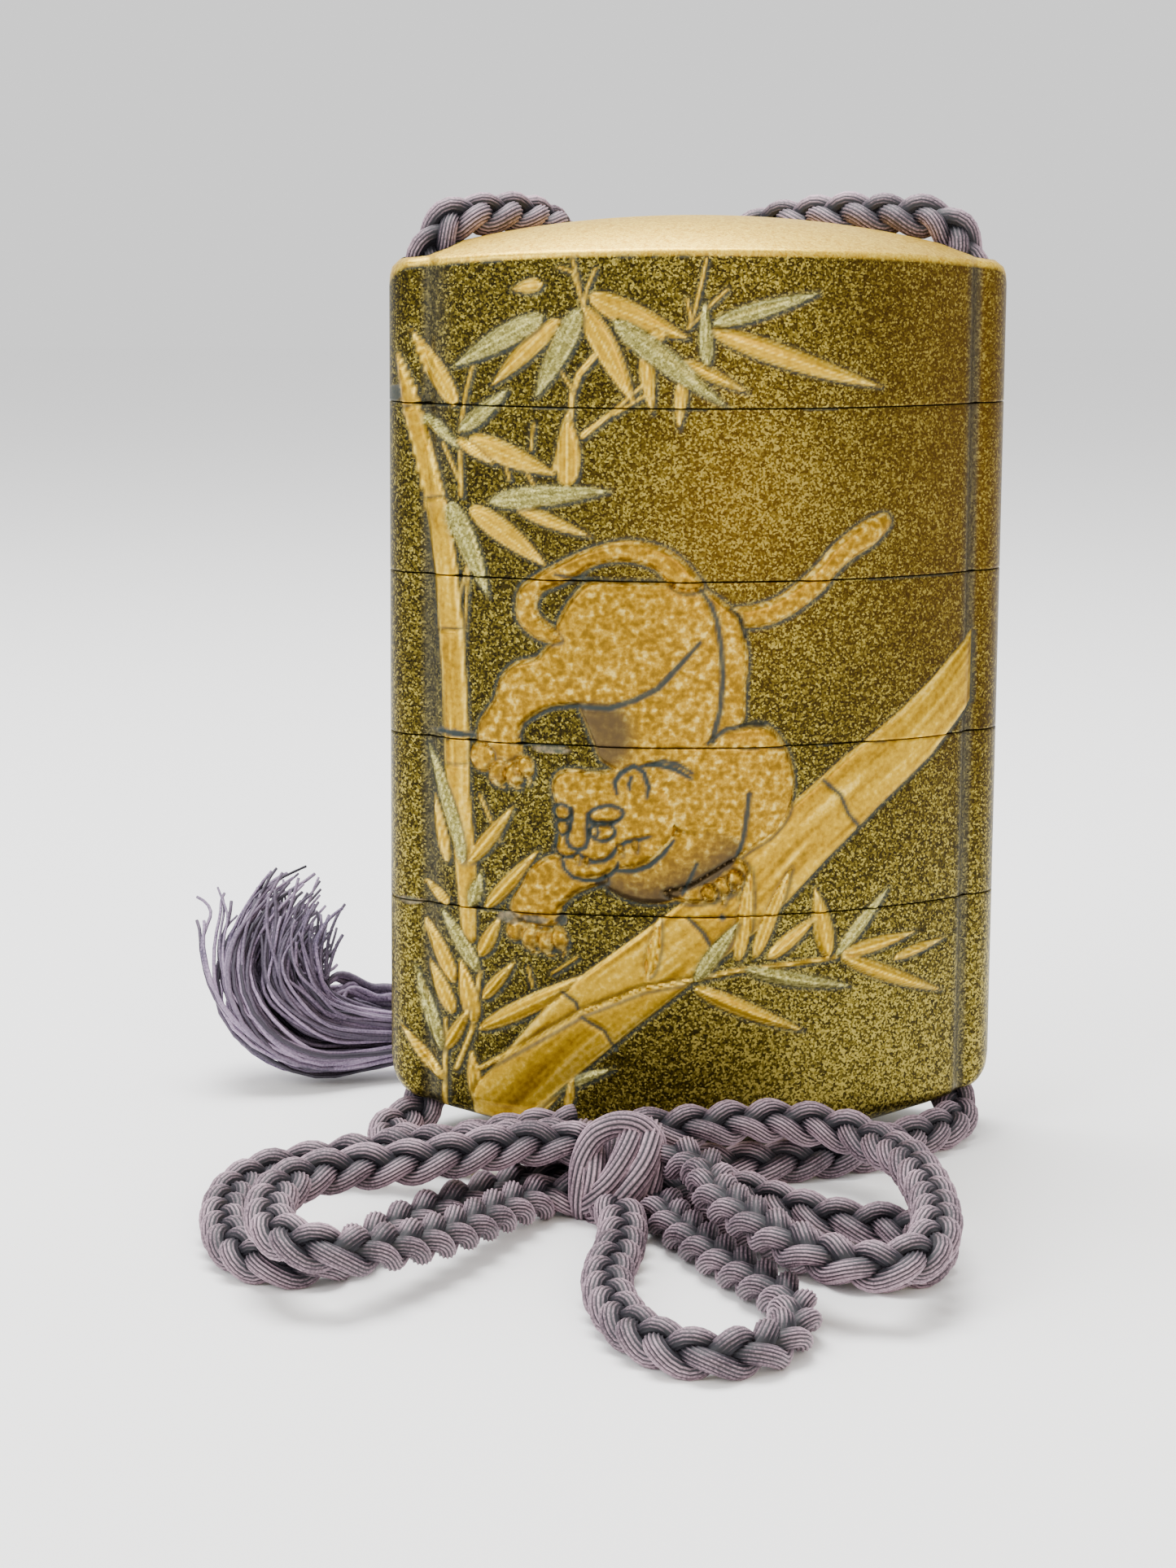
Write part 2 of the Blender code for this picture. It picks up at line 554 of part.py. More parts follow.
RIGHT_LARGE_ROUTE = (
    (-6.1, -22.0, 5.8), (-4.3, -22.3, 5.95), (-1.8, -22.2, 6.1), (1.4, -21.7, 6.2),
    (5.1, -21.0, 6.1), (8.6, -21.5, 5.8), (11.6, -23.5, 5.5), (13.8, -27.9, 5.4),
    (14.9, -34.4, 5.9), (15.1, -42.3, 5.9), (14.5, -49.8, 5.9), (13.4, -55.8, 5.9),
    (11.6, -60.4, 5.6), (9.1, -62.4, 5.3), (6.6, -62.0, 5.1), (4.3, -60.6, 5.2),
    (2.1, -58.3, 5.5), (0.1, -54.6, 5.8), (-1.8, -49.5, 6.0), (-3.2, -43.6, 6.0),
    (-3.2, -37.0, 6.0), (-3.9, -34.0, 5.9), (-4.9, -32.0, 5.85))
RIGHT_INNER_ROUTE = (
    (-5.9, -24.9, 1.9), (-4.3, -25.0, 1.9), (-1.3, -26.8, 1.9), (1.5, -30.3, 1.9),
    (4.0, -34.2, 1.9), (6.4, -37.4, 1.9), (9.0, -39.4, 1.9), (12.0, -40.6, 1.9),
    (14.4, -43.2, 1.9), (14.9, -47.2, 1.9), (13.4, -51.0, 1.9), (10.6, -52.8, 1.9),
    (7.6, -51.8, 1.9), (4.8, -48.6, 1.9), (2.2, -44.2, 1.9), (-0.1, -39.6, 1.9),
    (-1.6, -35.2, 1.9), (-2.4, -31.4, 1.9), (-4.1, -29.3, 1.9), (-5.8, -29.1, 1.9))
FRONT_ROUTE = (
    (-10.8, -33.1, 1.9), (-10.6, -38.0, 1.9), (-11.6, -45.4, 1.9), (-13.4, -53.4, 1.9),
    (-13.6, -61.6, 1.9), (-12.0, -68.8, 1.9), (-8.4, -73.4, 1.9), (-3.8, -72.6, 1.9),
    (-0.4, -68.0, 1.9), (0.6, -61.6, 1.9), (-1.2, -55.0, 1.9), (-3.4, -48.6, 1.9),
    (-5.2, -42.0, 1.9), (-6.4, -36.8, 1.9), (-6.7, -33.1, 1.9))
CORDS = {"cord_left": LEFT_ROUTE, "cord_right": RIGHT_ROUTE, "loop_left_outer": LEFT_OUTER_ROUTE,
         "loop_left_inner": LEFT_INNER_ROUTE, "loop_right_large": RIGHT_LARGE_ROUTE,
         "loop_right_inner": RIGHT_INNER_ROUTE, "loop_front": FRONT_ROUTE}


def smooth(route, fine=12):
    """Points of a smooth curve through the route, close together."""
    points = [Vector(point) * MM for point in route]
    points = [2 * points[0] - points[1]] + points + [2 * points[-1] - points[-2]]
    curve = []
    for before, start, end, after in zip(points, points[1:], points[2:], points[3:]):
        runs = ((before, start), (start, end), (end, after))
        lengths = [max((b - a).length ** 0.5, 1e-6) for a, b in runs]
        leave = ((start - before) / lengths[0] - (end - before) / (lengths[0] + lengths[1])
                 + (end - start) / lengths[1]) * lengths[1]
        arrive = ((end - start) / lengths[1] - (after - start) / (lengths[1] + lengths[2])
                  + (after - end) / lengths[2]) * lengths[1]
        for step in range(fine):
            t = step / fine
            curve.append((2 * t ** 3 - 3 * t ** 2 + 1) * start + (t ** 3 - 2 * t ** 2 + t) * leave
                         + (3 * t ** 2 - 2 * t ** 3) * end + (t ** 3 - t ** 2) * arrive)
    curve.append(points[-2])
    return curve


def thin_out(curve):
    """Keep a point every few diameters, and more of them where the cord turns."""
    kept = [curve[0]]
    heading = (curve[1] - curve[0]).normalized()
    turned = 0.0
    for index in range(1, len(curve) - 1):
        run = (curve[index + 1] - curve[index]).normalized()
        turned += heading.angle(run, 0.0)
        heading = run
        gone = (curve[index] - kept[-1]).length
        if gone > 0.25 * CORD_STEP and turned > CORD_TURN or gone > CORD_STEP and turned > 0.02:
            kept.append(curve[index])
            turned = 0.0
    kept.append(curve[-1])
    return kept


def cord_tube(name, route):
    """A plain tube along a cord's route."""
    points = thin_out(smooth(route))
    curve = bpy.data.curves.new(name, "CURVE")
    curve.dimensions = "3D"
    curve.bevel_depth = CORD_RADIUS
    curve.bevel_resolution = 2
    curve.use_fill_caps = True
    spline = curve.splines.new("POLY")
    spline.points.add(len(points) - 1)
    for slot, point in zip(spline.points, points):
        slot.co = (*point, 1.0)
    tube = bpy_objects.new(name, curve)
    bpy.context.collection.objects.link(tube)
    curve.materials.append(SILK)


# The knot's box in millimetres, and how square its rounded sides are
KNOT_LOW = (-14.2, -32.8, 0.0)
KNOT_HIGH = (-6.4, -20.0, 7.5)
KNOT_SQUARENESS = 8


def knot_solid():
    """The knot: a rounded block that every run of the bow enters."""
    middle = [(low + high) / 2 * MM for low, high in zip(KNOT_LOW, KNOT_HIGH)]
    half = [(high - low) / 2 * MM for low, high in zip(KNOT_LOW, KNOT_HIGH)]
    bm = bmesh.new()
    bmesh.ops.create_cube(bm, size=2.0)
    bmesh.ops.subdivide_edges(bm, edges=bm.edges, cuts=3, use_grid_fill=True)
    for vert in bm.verts:
        unit = vert.co.copy()
        reach = sum(abs(part) ** KNOT_SQUARENESS for part in unit) ** (1 / KNOT_SQUARENESS)
        vert.co = Vector([m + h * part / reach for m, h, part in zip(middle, half, unit)])
    return mesh_object("knot", bm, SILK)


# The tassel's middle line and its radius, from the cord ends to the curled tips
TASSEL_SPINE = ((-27.6, 21.8, 4.0, 3.9), (-32.0, 20.6, 4.7, 4.7), (-37.5, 19.4, 5.8, 5.8),
                (-42.0, 20.0, 8.6, 6.4), (-43.8, 22.4, 12.6, 5.6), (-42.6, 25.6, 16.4, 4.2),
                (-40.6, 28.0, 19.0, 2.4))


def tassel_solid():
    """The tassel: a plump tuft that sweeps left and curls up."""
    centres = [Vector(row[:3]) * MM for row in TASSEL_SPINE]
    bm = bmesh.new()
    rings = []
    for index, row in enumerate(TASSEL_SPINE):
        run = (centres[min(index + 1, len(centres) - 1)] - centres[max(index - 1, 0)]).normalized()
        if index == 0:
            run = Vector((-1, 0, 0))
        across = run.cross(Vector((0, 0, 1))).normalized()
        up = across.cross(run)
        ring = []
        for side in range(TASSEL_SIDES):
            angle = 2 * math.pi * side / TASSEL_SIDES
            spoke = across * math.cos(angle) + up * math.sin(angle)
            ring.append(bm.verts.new(centres[index] + row[3] * MM * spoke))
        rings.append(ring)
    bm.faces.new(rings[0])
    bm.faces.new(rings[-1])
    for low, high in zip(rings, rings[1:]):
        for side in range(TASSEL_SIDES):
            after = (side + 1) % TASSEL_SIDES
            bm.faces.new((low[side], low[after], high[after], high[side]))
    return mesh_object("tassel", bm, SILK)


case_pieces()
for cord_name, cord_route in CORDS.items():
    cord_tube(cord_name, cord_route)
knot_solid()
tassel_solid()
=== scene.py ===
# %% [markdown]
# # A lacquer inro and its silk cord
# An inro is a small stacked case that hangs from a belt: four trays and a lid, sprinkled with gold
# and decorated in raised lacquer. One braided silk cord runs through a channel in each narrow side
# and holds the stack together. This script dresses the measured frame: first the camera and the
# light, then the cord, its knot and its tassel, and last the five pieces of the case.

# %% The frame
import math

import bpy
import numpy as np
from mathutils import Matrix, Vector


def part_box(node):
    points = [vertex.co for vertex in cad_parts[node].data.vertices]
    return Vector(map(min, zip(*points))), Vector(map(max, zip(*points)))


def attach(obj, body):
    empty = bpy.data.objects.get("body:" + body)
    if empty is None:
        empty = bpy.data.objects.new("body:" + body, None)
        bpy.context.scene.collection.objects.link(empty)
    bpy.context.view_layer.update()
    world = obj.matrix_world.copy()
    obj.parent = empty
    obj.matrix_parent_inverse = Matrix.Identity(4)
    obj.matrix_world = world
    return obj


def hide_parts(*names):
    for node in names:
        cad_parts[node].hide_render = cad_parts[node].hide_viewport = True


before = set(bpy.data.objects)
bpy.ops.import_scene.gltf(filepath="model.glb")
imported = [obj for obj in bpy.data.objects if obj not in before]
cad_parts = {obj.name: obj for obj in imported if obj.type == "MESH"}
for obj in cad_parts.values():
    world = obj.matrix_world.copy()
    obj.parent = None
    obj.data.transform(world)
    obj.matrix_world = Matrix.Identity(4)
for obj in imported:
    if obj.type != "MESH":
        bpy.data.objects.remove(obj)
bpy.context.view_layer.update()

MM = 0.001
print("frame:", len(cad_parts), "nodes")

# %% [markdown]
# ## Camera
# The picture was taken almost level, from a little left of the front, with a long lens that keeps the
# case's sides parallel. A camera is only its place, its turn and its lens, so its three axes are
# worked out from yaw, pitch and roll and set as one matrix: nothing has to be aimed by hand.

# %% Camera
CAMERA_PLACE = Vector((-41.89, -337.08, 91.95)) * MM
CAMERA_YAW = math.radians(5.366)
CAMERA_PITCH = math.radians(9.739)
CAMERA_ROLL = math.radians(0.337)
LENS = 110.3
SENSOR = 36.0


def add_camera():
    """Place a camera by its yaw from +Y, its pitch down and its roll."""
    ahead = Vector((math.sin(CAMERA_YAW) * math.cos(CAMERA_PITCH),
                    math.cos(CAMERA_YAW) * math.cos(CAMERA_PITCH), -math.sin(CAMERA_PITCH)))
    right = Vector((math.cos(CAMERA_YAW), -math.sin(CAMERA_YAW), 0))
    up = right.cross(ahead)
    rolled_right = right * math.cos(CAMERA_ROLL) + up * math.sin(CAMERA_ROLL)
    rolled_up = up * math.cos(CAMERA_ROLL) - right * math.sin(CAMERA_ROLL)
    turn = Matrix((rolled_right, rolled_up, -ahead)).transposed()
    data = bpy.data.cameras.new("camera")
    data.lens = LENS
    data.sensor_width = SENSOR
    data.sensor_fit = "HORIZONTAL"
    data.clip_start = 0.01
    camera = bpy.data.objects.new("camera", data)
    camera.matrix_world = Matrix.Translation(CAMERA_PLACE) @ turn.to_4x4()
    bpy.context.collection.objects.link(camera)
    bpy.context.scene.camera = camera
    return camera


camera = add_camera()
print("camera at", [round(part, 3) for part in camera.location])

# %% [markdown]
# ## Materials
# Every finish here is a small network of shader nodes. Writing them by hand means creating a node,
# setting its options and joining its sockets, again and again, so one function does all three and short
# ones add the commonest nodes. Colours are picked as sRGB hex values, as in a paint program, and turned
# to the linear values Blender works in.

# %% Node and colour helpers


def tint(code):
    """Turn an sRGB hex colour into linear red, green, blue and alpha."""
    parts = [int(code[start:start + 2], 16) / 255 for start in (1, 3, 5)]
    return [c / 12.92 if c <= 0.04045 else ((c + 0.055) / 1.055) ** 2.4 for c in parts] + [1.0]


def fill(tree, made, inputs):
    """Give a node its values, and join the sockets that lead into it."""
    for name, value in dict(inputs).items():
        if isinstance(value, bpy.types.NodeSocket):
            tree.links.new(value, made.inputs[name])
        else:
            made.inputs[name].default_value = value


def node(tree, kind, inputs=(), **options):
    """Add a shader node: options are its settings, inputs are values or the sockets to join."""
    made = tree.nodes.new("ShaderNode" + kind)
    for name, value in options.items():
        setattr(made, name, value)
    fill(tree, made, inputs)
    return made


def maths(tree, operation, *values):
    """Add a maths node for values or sockets, and return its result."""
    return node(tree, "Math", dict(enumerate(values)), operation=operation).outputs[0]


def noise(tree, place, size, detail):
    """Add a noise with lumps of about the given size in millimetres."""
    inputs = {"Vector": place, "Scale": 1 / (size * MM), "Detail": detail}
    return node(tree, "TexNoise", inputs).outputs["Fac"]


def painted(tree, factor, under, over):
    """Cover one colour with another where the factor says so."""
    return node(tree, "Mix", {0: factor, 6: under, 7: over}, data_type="RGBA").outputs[2]


def ramp_of(tree, value, stops):
    """Turn a value into a colour through a ramp of (place, hex colour)."""
    made = node(tree, "ValToRGB", {"Fac": value})
    ramp = made.color_ramp
    for index, (place, code) in enumerate(stops):
        stop = ramp.elements[index] if index < 2 else ramp.elements.new(place)
        stop.position = place
        stop.color = tint(code)
    return made.outputs["Color"]


def stored(tree, name):
    """Read a value that the mesh stores at each vertex."""
    return node(tree, "Attribute", attribute_name=name).outputs["Fac"]


def blank(name):
    """Return a new material with its node tree and its Principled shader."""
    made = bpy.data.materials.new(name)
    made.use_nodes = True
    return made, made.node_tree, made.node_tree.nodes["Principled BSDF"]


print("white is", tint("#ffffff"))

# %% [markdown]
# ## Floor and light
# The case stands on a plain pale sheet under a large soft light from above and a little behind. Two
# weaker lamps, on the left and in front, and white light all round keep the shadows pale: the lid's
# dome turns bright, helped by a painted highlight, and the loops drop soft shadows towards the viewer.

# %% Floor, lamps and surroundings
FLOOR_SIZE = 3.0
FLOOR_DROP = 0.02
WORLD_STRENGTH = 1.15
LAMP_AIM = Vector((0, 0, 0.04))
# Each lamp: name, place, size, power and colour
LAMPS = (("lamp_above", (-0.05, 0.12, 0.55), 0.35, 6.0, "#ffffff"),
         ("lamp_left", (-0.45, -0.35, 0.35), 0.30, 2.4, "#ffffff"),
         ("lamp_front", (0.15, -0.60, 0.25), 0.25, 1.6, "#fff0d8"))


def add_floor():
    """A wide pale sheet under the case."""
    half = FLOOR_SIZE / 2
    corners = [(-half, -half, 0), (half, -half, 0), (half, half, 0), (-half, half, 0)]
    mesh = bpy.data.meshes.new("floor")
    mesh.from_pydata(corners, [], [(0, 1, 2, 3)])
    floor = bpy.data.objects.new("floor", mesh)
    bpy.context.collection.objects.link(floor)
    paper, tree, shader = blank("pale_paper")
    fill(tree, shader, {"Base Color": tint("#fbfbfb"), "Roughness": 0.9, "Specular IOR Level": 0.1})
    mesh.materials.append(paper)
    floor.location.z = -FLOOR_DROP * MM


def add_lamp(name, place, size, power, colour):
    """A square soft lamp that points at the case."""
    data = bpy.data.lights.new(name, "AREA")
    data.size = size
    data.energy = power
    data.color = tint(colour)[:3]
    lamp = bpy.data.objects.new(name, data)
    lamp.location = place
    lamp.rotation_euler = (LAMP_AIM - Vector(place)).to_track_quat("-Z", "Y").to_euler()
    bpy.context.collection.objects.link(lamp)


add_floor()
for lamp_row in LAMPS:
    add_lamp(*lamp_row)
surroundings = bpy.data.worlds.new("surroundings")
surroundings.use_nodes = True
sky = surroundings.node_tree
fill(sky, sky.nodes["Background"], {"Color": tint("#ffffff"), "Strength": WORLD_STRENGTH})
bpy.context.scene.world = surroundings

# %% [markdown]
# ## The cord's route
# The cord is one length of braided silk. From its frayed end it climbs the back, crosses the lid's
# shoulder, drops through the channel in the case's side and comes out under the base to the bow. The
# routes below are the points that the cord passes; a smooth curve is drawn through them, because a
# cord has no corners.

# %% Routes, in millimetres
BORE_X = 25.2
CORD_LEFT = (
    (-27.2, 20.6, 1.95), (-20.5, 19.6, 1.95), (-14.5, 17.5, 2.8), (-10.5, 15.8, 7.0),
    (-9.0, 15.0, 14.0), (-8.0, 14.9, 35.0), (-9.0, 14.6, 60.0), (-10.5, 14.3, 76.0),
    (-11.3, 14.1, 82.6), (-11.9, 12.9, 85.6), (-13.4, 10.0, 86.7), (-15.9, 6.4, 87.4),
    (-19.5, 3.2, 87.5), (-23.0, 1.1, 87.0), (-BORE_X, 0.1, 84.1), (-BORE_X, 0.0, 79.0),
    (-BORE_X, 0.0, 45.0), (-BORE_X, 0.0, 10.0), (-BORE_X, 0.0, 6.0), (-25.5, -0.4, 3.95),
    (-26.4, -1.6, 2.5), (-27.7, -3.3, 1.95), (-29.3, -6.4, 1.9), (-29.2, -10.0, 1.9),
    (-26.6, -13.2, 2.1), (-22.8, -15.2, 3.0), (-18.4, -18.6, 4.7), (-16.5, -20.6, 5.5),
    (-14.9, -21.0, 5.75))
CORD_RIGHT = (
    (-27.2, 22.5, 5.8), (-20.0, 22.6, 5.7), (-14.5, 22.2, 5.9), (-10.0, 20.9, 6.8),
    (-6.2, 18.4, 9.8), (-3.8, 16.0, 16.0), (-2.5, 15.4, 28.0), (-1.0, 15.4, 48.0),
    (1.5, 15.3, 66.0), (4.0, 15.0, 78.0), (6.0, 14.4, 84.0), (7.8, 13.0, 86.5),
    (10.6, 10.4, 87.0), (14.5, 6.6, 87.6), (19.5, 3.2, 87.5), (23.0, 1.1, 87.0),
    (BORE_X, 0.1, 84.1), (BORE_X, 0.0, 79.0), (BORE_X, 0.0, 45.0), (BORE_X, 0.0, 10.0),
    (BORE_X, 0.0, 6.0), (25.3, -0.5, 3.95), (25.4, -2.0, 2.5), (25.3, -4.1, 1.95),
    (23.9, -7.8, 1.9), (19.8, -12.4, 1.9), (13.5, -17.0, 1.9), (5.5, -20.0, 1.9),
    (-1.0, -21.0, 1.9), (-6.1, -21.0, 1.9))
LOOP_LEFT_OUTER = (
    (-14.9, -24.9, 5.75), (-17.5, -24.4, 5.6), (-21.5, -23.0, 5.0), (-28.1, -20.4, 4.0),
    (-35.2, -18.4, 2.5), (-40.2, -19.4, 1.9), (-43.3, -24.0, 1.9), (-44.7, -31.0, 1.9),
    (-44.7, -38.0, 1.9), (-43.7, -43.6, 1.9), (-41.3, -47.3, 1.9), (-38.0, -47.9, 1.9),
    (-35.0, -45.4, 1.9), (-32.4, -41.4, 1.9), (-29.4, -36.9, 1.9), (-25.8, -32.4, 1.9),
    (-22.0, -28.6, 1.9), (-18.8, -25.5, 1.9), (-16.8, -23.9, 1.9), (-14.9, -23.6, 1.9))
LOOP_LEFT_INNER = (
    (-14.9, -28.8, 6.5), (-16.6, -28.8, 6.6), (-19.6, -29.4, 6.6), (-22.8, -30.5, 6.4),
    (-26.3, -31.7, 6.2), (-30.2, -32.3, 5.9), (-34.3, -33.2, 5.8), (-38.0, -35.6, 5.8),
    (-40.3, -40.6, 5.8), (-41.0, -46.6, 5.8), (-40.4, -51.8, 5.8), (-38.4, -55.2, 5.8),
    (-35.3, -55.9, 5.4), (-31.7, -52.9, 4.7), (-28.1, -48.3, 3.9), (-24.3, -42.3, 3.2),
    (-20.8, -36.0, 2.7), (-18.0, -31.4, 2.2), (-16.4, -29.5, 1.9), (-14.9, -29.1, 1.9))
LOOP_RIGHT_LARGE = (
    (-6.1, -22.0, 5.8), (-4.3, -22.3, 5.95), (-1.8, -22.2, 6.1), (1.4, -21.7, 6.2),
    (5.1, -21.0, 6.1), (8.6, -21.5, 5.8), (11.6, -23.5, 5.5), (13.8, -27.9, 5.4),
    (14.9, -34.4, 5.9), (15.1, -42.3, 5.9), (14.5, -49.8, 5.9), (13.4, -55.8, 5.9),
    (11.6, -60.4, 5.6), (9.1, -62.4, 5.3), (6.6, -62.0, 5.1), (4.3, -60.6, 5.2),
    (2.1, -58.3, 5.5), (0.1, -54.6, 5.8), (-1.8, -49.5, 6.0), (-3.2, -43.6, 6.0),
    (-3.2, -37.0, 6.0), (-3.9, -34.0, 5.9), (-4.9, -32.0, 5.85))
LOOP_RIGHT_INNER = (
    (-5.9, -24.9, 1.9), (-4.3, -25.0, 1.9), (-1.3, -26.8, 1.9), (1.5, -30.3, 1.9),
    (4.0, -34.2, 1.9), (6.4, -37.4, 1.9), (9.0, -39.4, 1.9), (12.0, -40.6, 1.9),
    (14.4, -43.2, 1.9), (14.9, -47.2, 1.9), (13.4, -51.0, 1.9), (10.6, -52.8, 1.9),
    (7.6, -51.8, 1.9), (4.8, -48.6, 1.9), (2.2, -44.2, 1.9), (-0.1, -39.6, 1.9),
    (-1.6, -35.2, 1.9), (-2.4, -31.4, 1.9), (-4.1, -29.3, 1.9), (-5.8, -29.1, 1.9))
LOOP_FRONT = (
    (-10.8, -33.1, 1.9), (-10.6, -38.0, 1.9), (-11.6, -45.4, 1.9), (-13.4, -53.4, 1.9),
    (-13.6, -61.6, 1.9), (-12.0, -68.8, 1.9), (-8.4, -73.4, 1.9), (-3.8, -72.6, 1.9),
    (-0.4, -68.0, 1.9), (0.6, -61.6, 1.9), (-1.2, -55.0, 1.9), (-3.4, -48.6, 1.9),
    (-5.2, -42.0, 1.9), (-6.4, -36.8, 1.9), (-6.7, -33.1, 1.9))
CORD_ROUTES = {"cord_left": CORD_LEFT, "cord_right": CORD_RIGHT,
               "loop_left_outer": LOOP_LEFT_OUTER, "loop_left_inner": LOOP_LEFT_INNER,
               "loop_right_large": LOOP_RIGHT_LARGE, "loop_right_inner": LOOP_RIGHT_INNER,
               "loop_front": LOOP_FRONT}


def smooth(route, fine=24, closed=False):
    """Points of a smooth curve through the route, close together."""
    points = [np.array(point, float) for point in route]
    if closed:
        points = [points[-1]] + points + points[:2]
    else:
        points = [2 * points[0] - points[1]] + points + [2 * points[-1] - points[-2]]
    curve = []
    share = (np.arange(fine) / fine)[:, None]
    for before, start, end, after in zip(points, points[1:], points[2:], points[3:]):
        runs = ((before, start), (start, end), (end, after))
        a, b, c = [max(np.linalg.norm(two - one) ** 0.5, 1e-6) for one, two in runs]
        leave = ((start - before) / a - (end - before) / (a + b) + (end - start) / b) * b
        arrive = ((end - start) / b - (after - start) / (b + c) + (after - end) / c) * b
        curve.append((2 * share ** 3 - 3 * share ** 2 + 1) * start
                     + (share ** 3 - 2 * share ** 2 + share) * leave
                     + (3 * share ** 2 - 2 * share ** 3) * end + (share ** 3 - share ** 2) * arrive)
    if not closed:
        curve.append(points[-2][None, :])
    return np.vstack(curve)


def even(curve, spacing):
    """Walk along a curve and return points at an even spacing."""
    gone = np.concatenate([[0], np.cumsum(np.linalg.norm(np.diff(curve, axis=0), axis=1))])
    count = max(int(round(gone[-1] / spacing)), 2)
    stops = np.linspace(0, gone[-1], count + 1)
    return np.stack([np.interp(stops, gone, curve[:, axis]) for axis in range(3)], axis=1), gone[-1]


for cord_name, route in CORD_ROUTES.items():
    print(cord_name, round(even(smooth(route), 1.0)[1], 1), "mm")

# %% [markdown]
# ## Sweeping yarn
# Braid, knot and tassel are all made of one thing: a bundle of fine twisted yarns that follows a
# path. A curve object with a round bevel could do it, but it can't show the yarns, so the bundle is
# swept here as a mesh. Its ring has a bump for each yarn, the bumps turn as the ring moves along, and
# the height of each bump is stored, so that shade can be painted into the gaps.

# %% Sweep one bundle of yarns


def unit(rows):
    """Scale each row to length one."""
    return rows / np.maximum(np.linalg.norm(rows, axis=-1, keepdims=True), 1e-12)


def travel(points, lift=(0.0, 0.0, 1.0)):
    """Return a path's headings with two cross directions that turn as little as they can."""
    heading = unit(np.gradient(points, axis=0))
    lift = np.array(lift)
    if abs(heading[0] @ lift) > 0.95:
        lift = np.array((0.0, 1.0, 0.0))
    side = np.zeros_like(points)
    side[0] = unit(np.cross(heading[0], lift))
    for index in range(1, len(points)):
        moved = side[index - 1] - heading[index] * (side[index - 1] @ heading[index])
        side[index] = moved / max(np.linalg.norm(moved), 1e-12)
    return heading, side, np.cross(side, heading)


def bundle(points, radius, yarns, twist, sides, flat=1.0, lift=(0.0, 0.0, 1.0), gap=0.16):
    """Sweep a twisted bundle of yarns. Returns corners, faces and how high each corner is on its yarn."""
    heading, side, up = travel(points, lift)
    angle = 2 * math.pi * np.arange(sides) / sides
    gone = np.concatenate([[0], np.cumsum(np.linalg.norm(np.diff(points, axis=0), axis=1))])
    crest = np.abs(np.cos(yarns / 2 * angle))[None, :] ** 0.7
    angle = angle[None, :] - twist * gone[:, None]
    crest = np.broadcast_to(crest, angle.shape)
    reach = np.broadcast_to(np.asarray(radius, float).reshape(-1, 1), crest.shape)
    reach = reach * (1 - gap + gap * crest)
    corners = (points[:, None, :] + side[:, None, :] * (reach * np.cos(angle))[..., None]
               + up[:, None, :] * (reach * np.sin(angle) * flat)[..., None])
    return corners.reshape(-1, 3), tube_faces(len(points), sides), crest.reshape(-1)


def tube_faces(rings, sides):
    """Faces of a tube of rings, with a closed end on each side."""
    ring, spoke = np.meshgrid(np.arange(rings - 1), np.arange(sides), indexing="ij")
    after = (spoke + 1) % sides
    quads = np.stack([ring * sides + spoke, ring * sides + after, (ring + 1) * sides + after,
                      (ring + 1) * sides + spoke], axis=-1).reshape(-1, 4)
    ends = [list(range(sides))[::-1], list(range((rings - 1) * sides, rings * sides))]
    return quads, ends


def mesh_piece(name, corners, quads, extra=(), attributes=(), surface=None):
    """Make an object from corners in millimetres, its faces and its stored values."""
    mesh = bpy.data.meshes.new(name)
    mesh.from_pydata((corners * MM).tolist(), [], quads.tolist() + [list(face) for face in extra])
    for label, values in dict(attributes).items():
        layer = mesh.attributes.new(label, "FLOAT", "POINT")
        layer.data.foreach_set("value", np.asarray(values, np.float32))
    mesh.shade_smooth()
    made = bpy.data.objects.new(name, mesh)
    bpy.context.collection.objects.link(made)
    if surface:
        mesh.materials.append(surface)
    return made


LEAST_HEIGHT = 0.03


def gather(parts):
    """Join swept bundles into one list of corners, quads, ends and heights."""
    corners, quads, ends, heights, base = [], [], [], [], 0
    for points, (faces, caps), crest in parts:
        corners.append(points)
        quads.append(faces + base)
        ends += [[index + base for index in cap] for cap in caps]
        heights.append(crest)
        base += len(points)
    return np.vstack(corners), np.vstack(quads), ends, np.concatenate(heights)


def silk_piece(name, parts, surface, lowest=LEAST_HEIGHT, crest=None):
    """Make one piece of swept bundles that stays above the floor."""
    corners, quads, ends, heights = gather(parts)
    corners[:, 2] = np.maximum(corners[:, 2], lowest)
    values = {"crest": heights if crest is None else crest}
    return mesh_piece(name, corners, quads, ends, values, surface)


test_line = np.linspace((0, 0, 0), (10, 0, 0), 21)
print("a test bundle has", len(bundle(test_line, 1.0, 13, 0.4, 26)[0]), "corners")

# %% [markdown]
# ## Silk
# Old dyed silk has faded to a greyish mauve and lost most of its gloss, so the shader is fairly rough,
# with only a little sheen. The gaps between the yarns are painted nearly black, as painted shade. On
# their crests the colour wanders between a brownish and a pale pinkish mauve, slowly along the cord and
# quickly across fibres.

# %% Silk material
YARN_PITCH = 0.42
PATCH_SIZE = 6


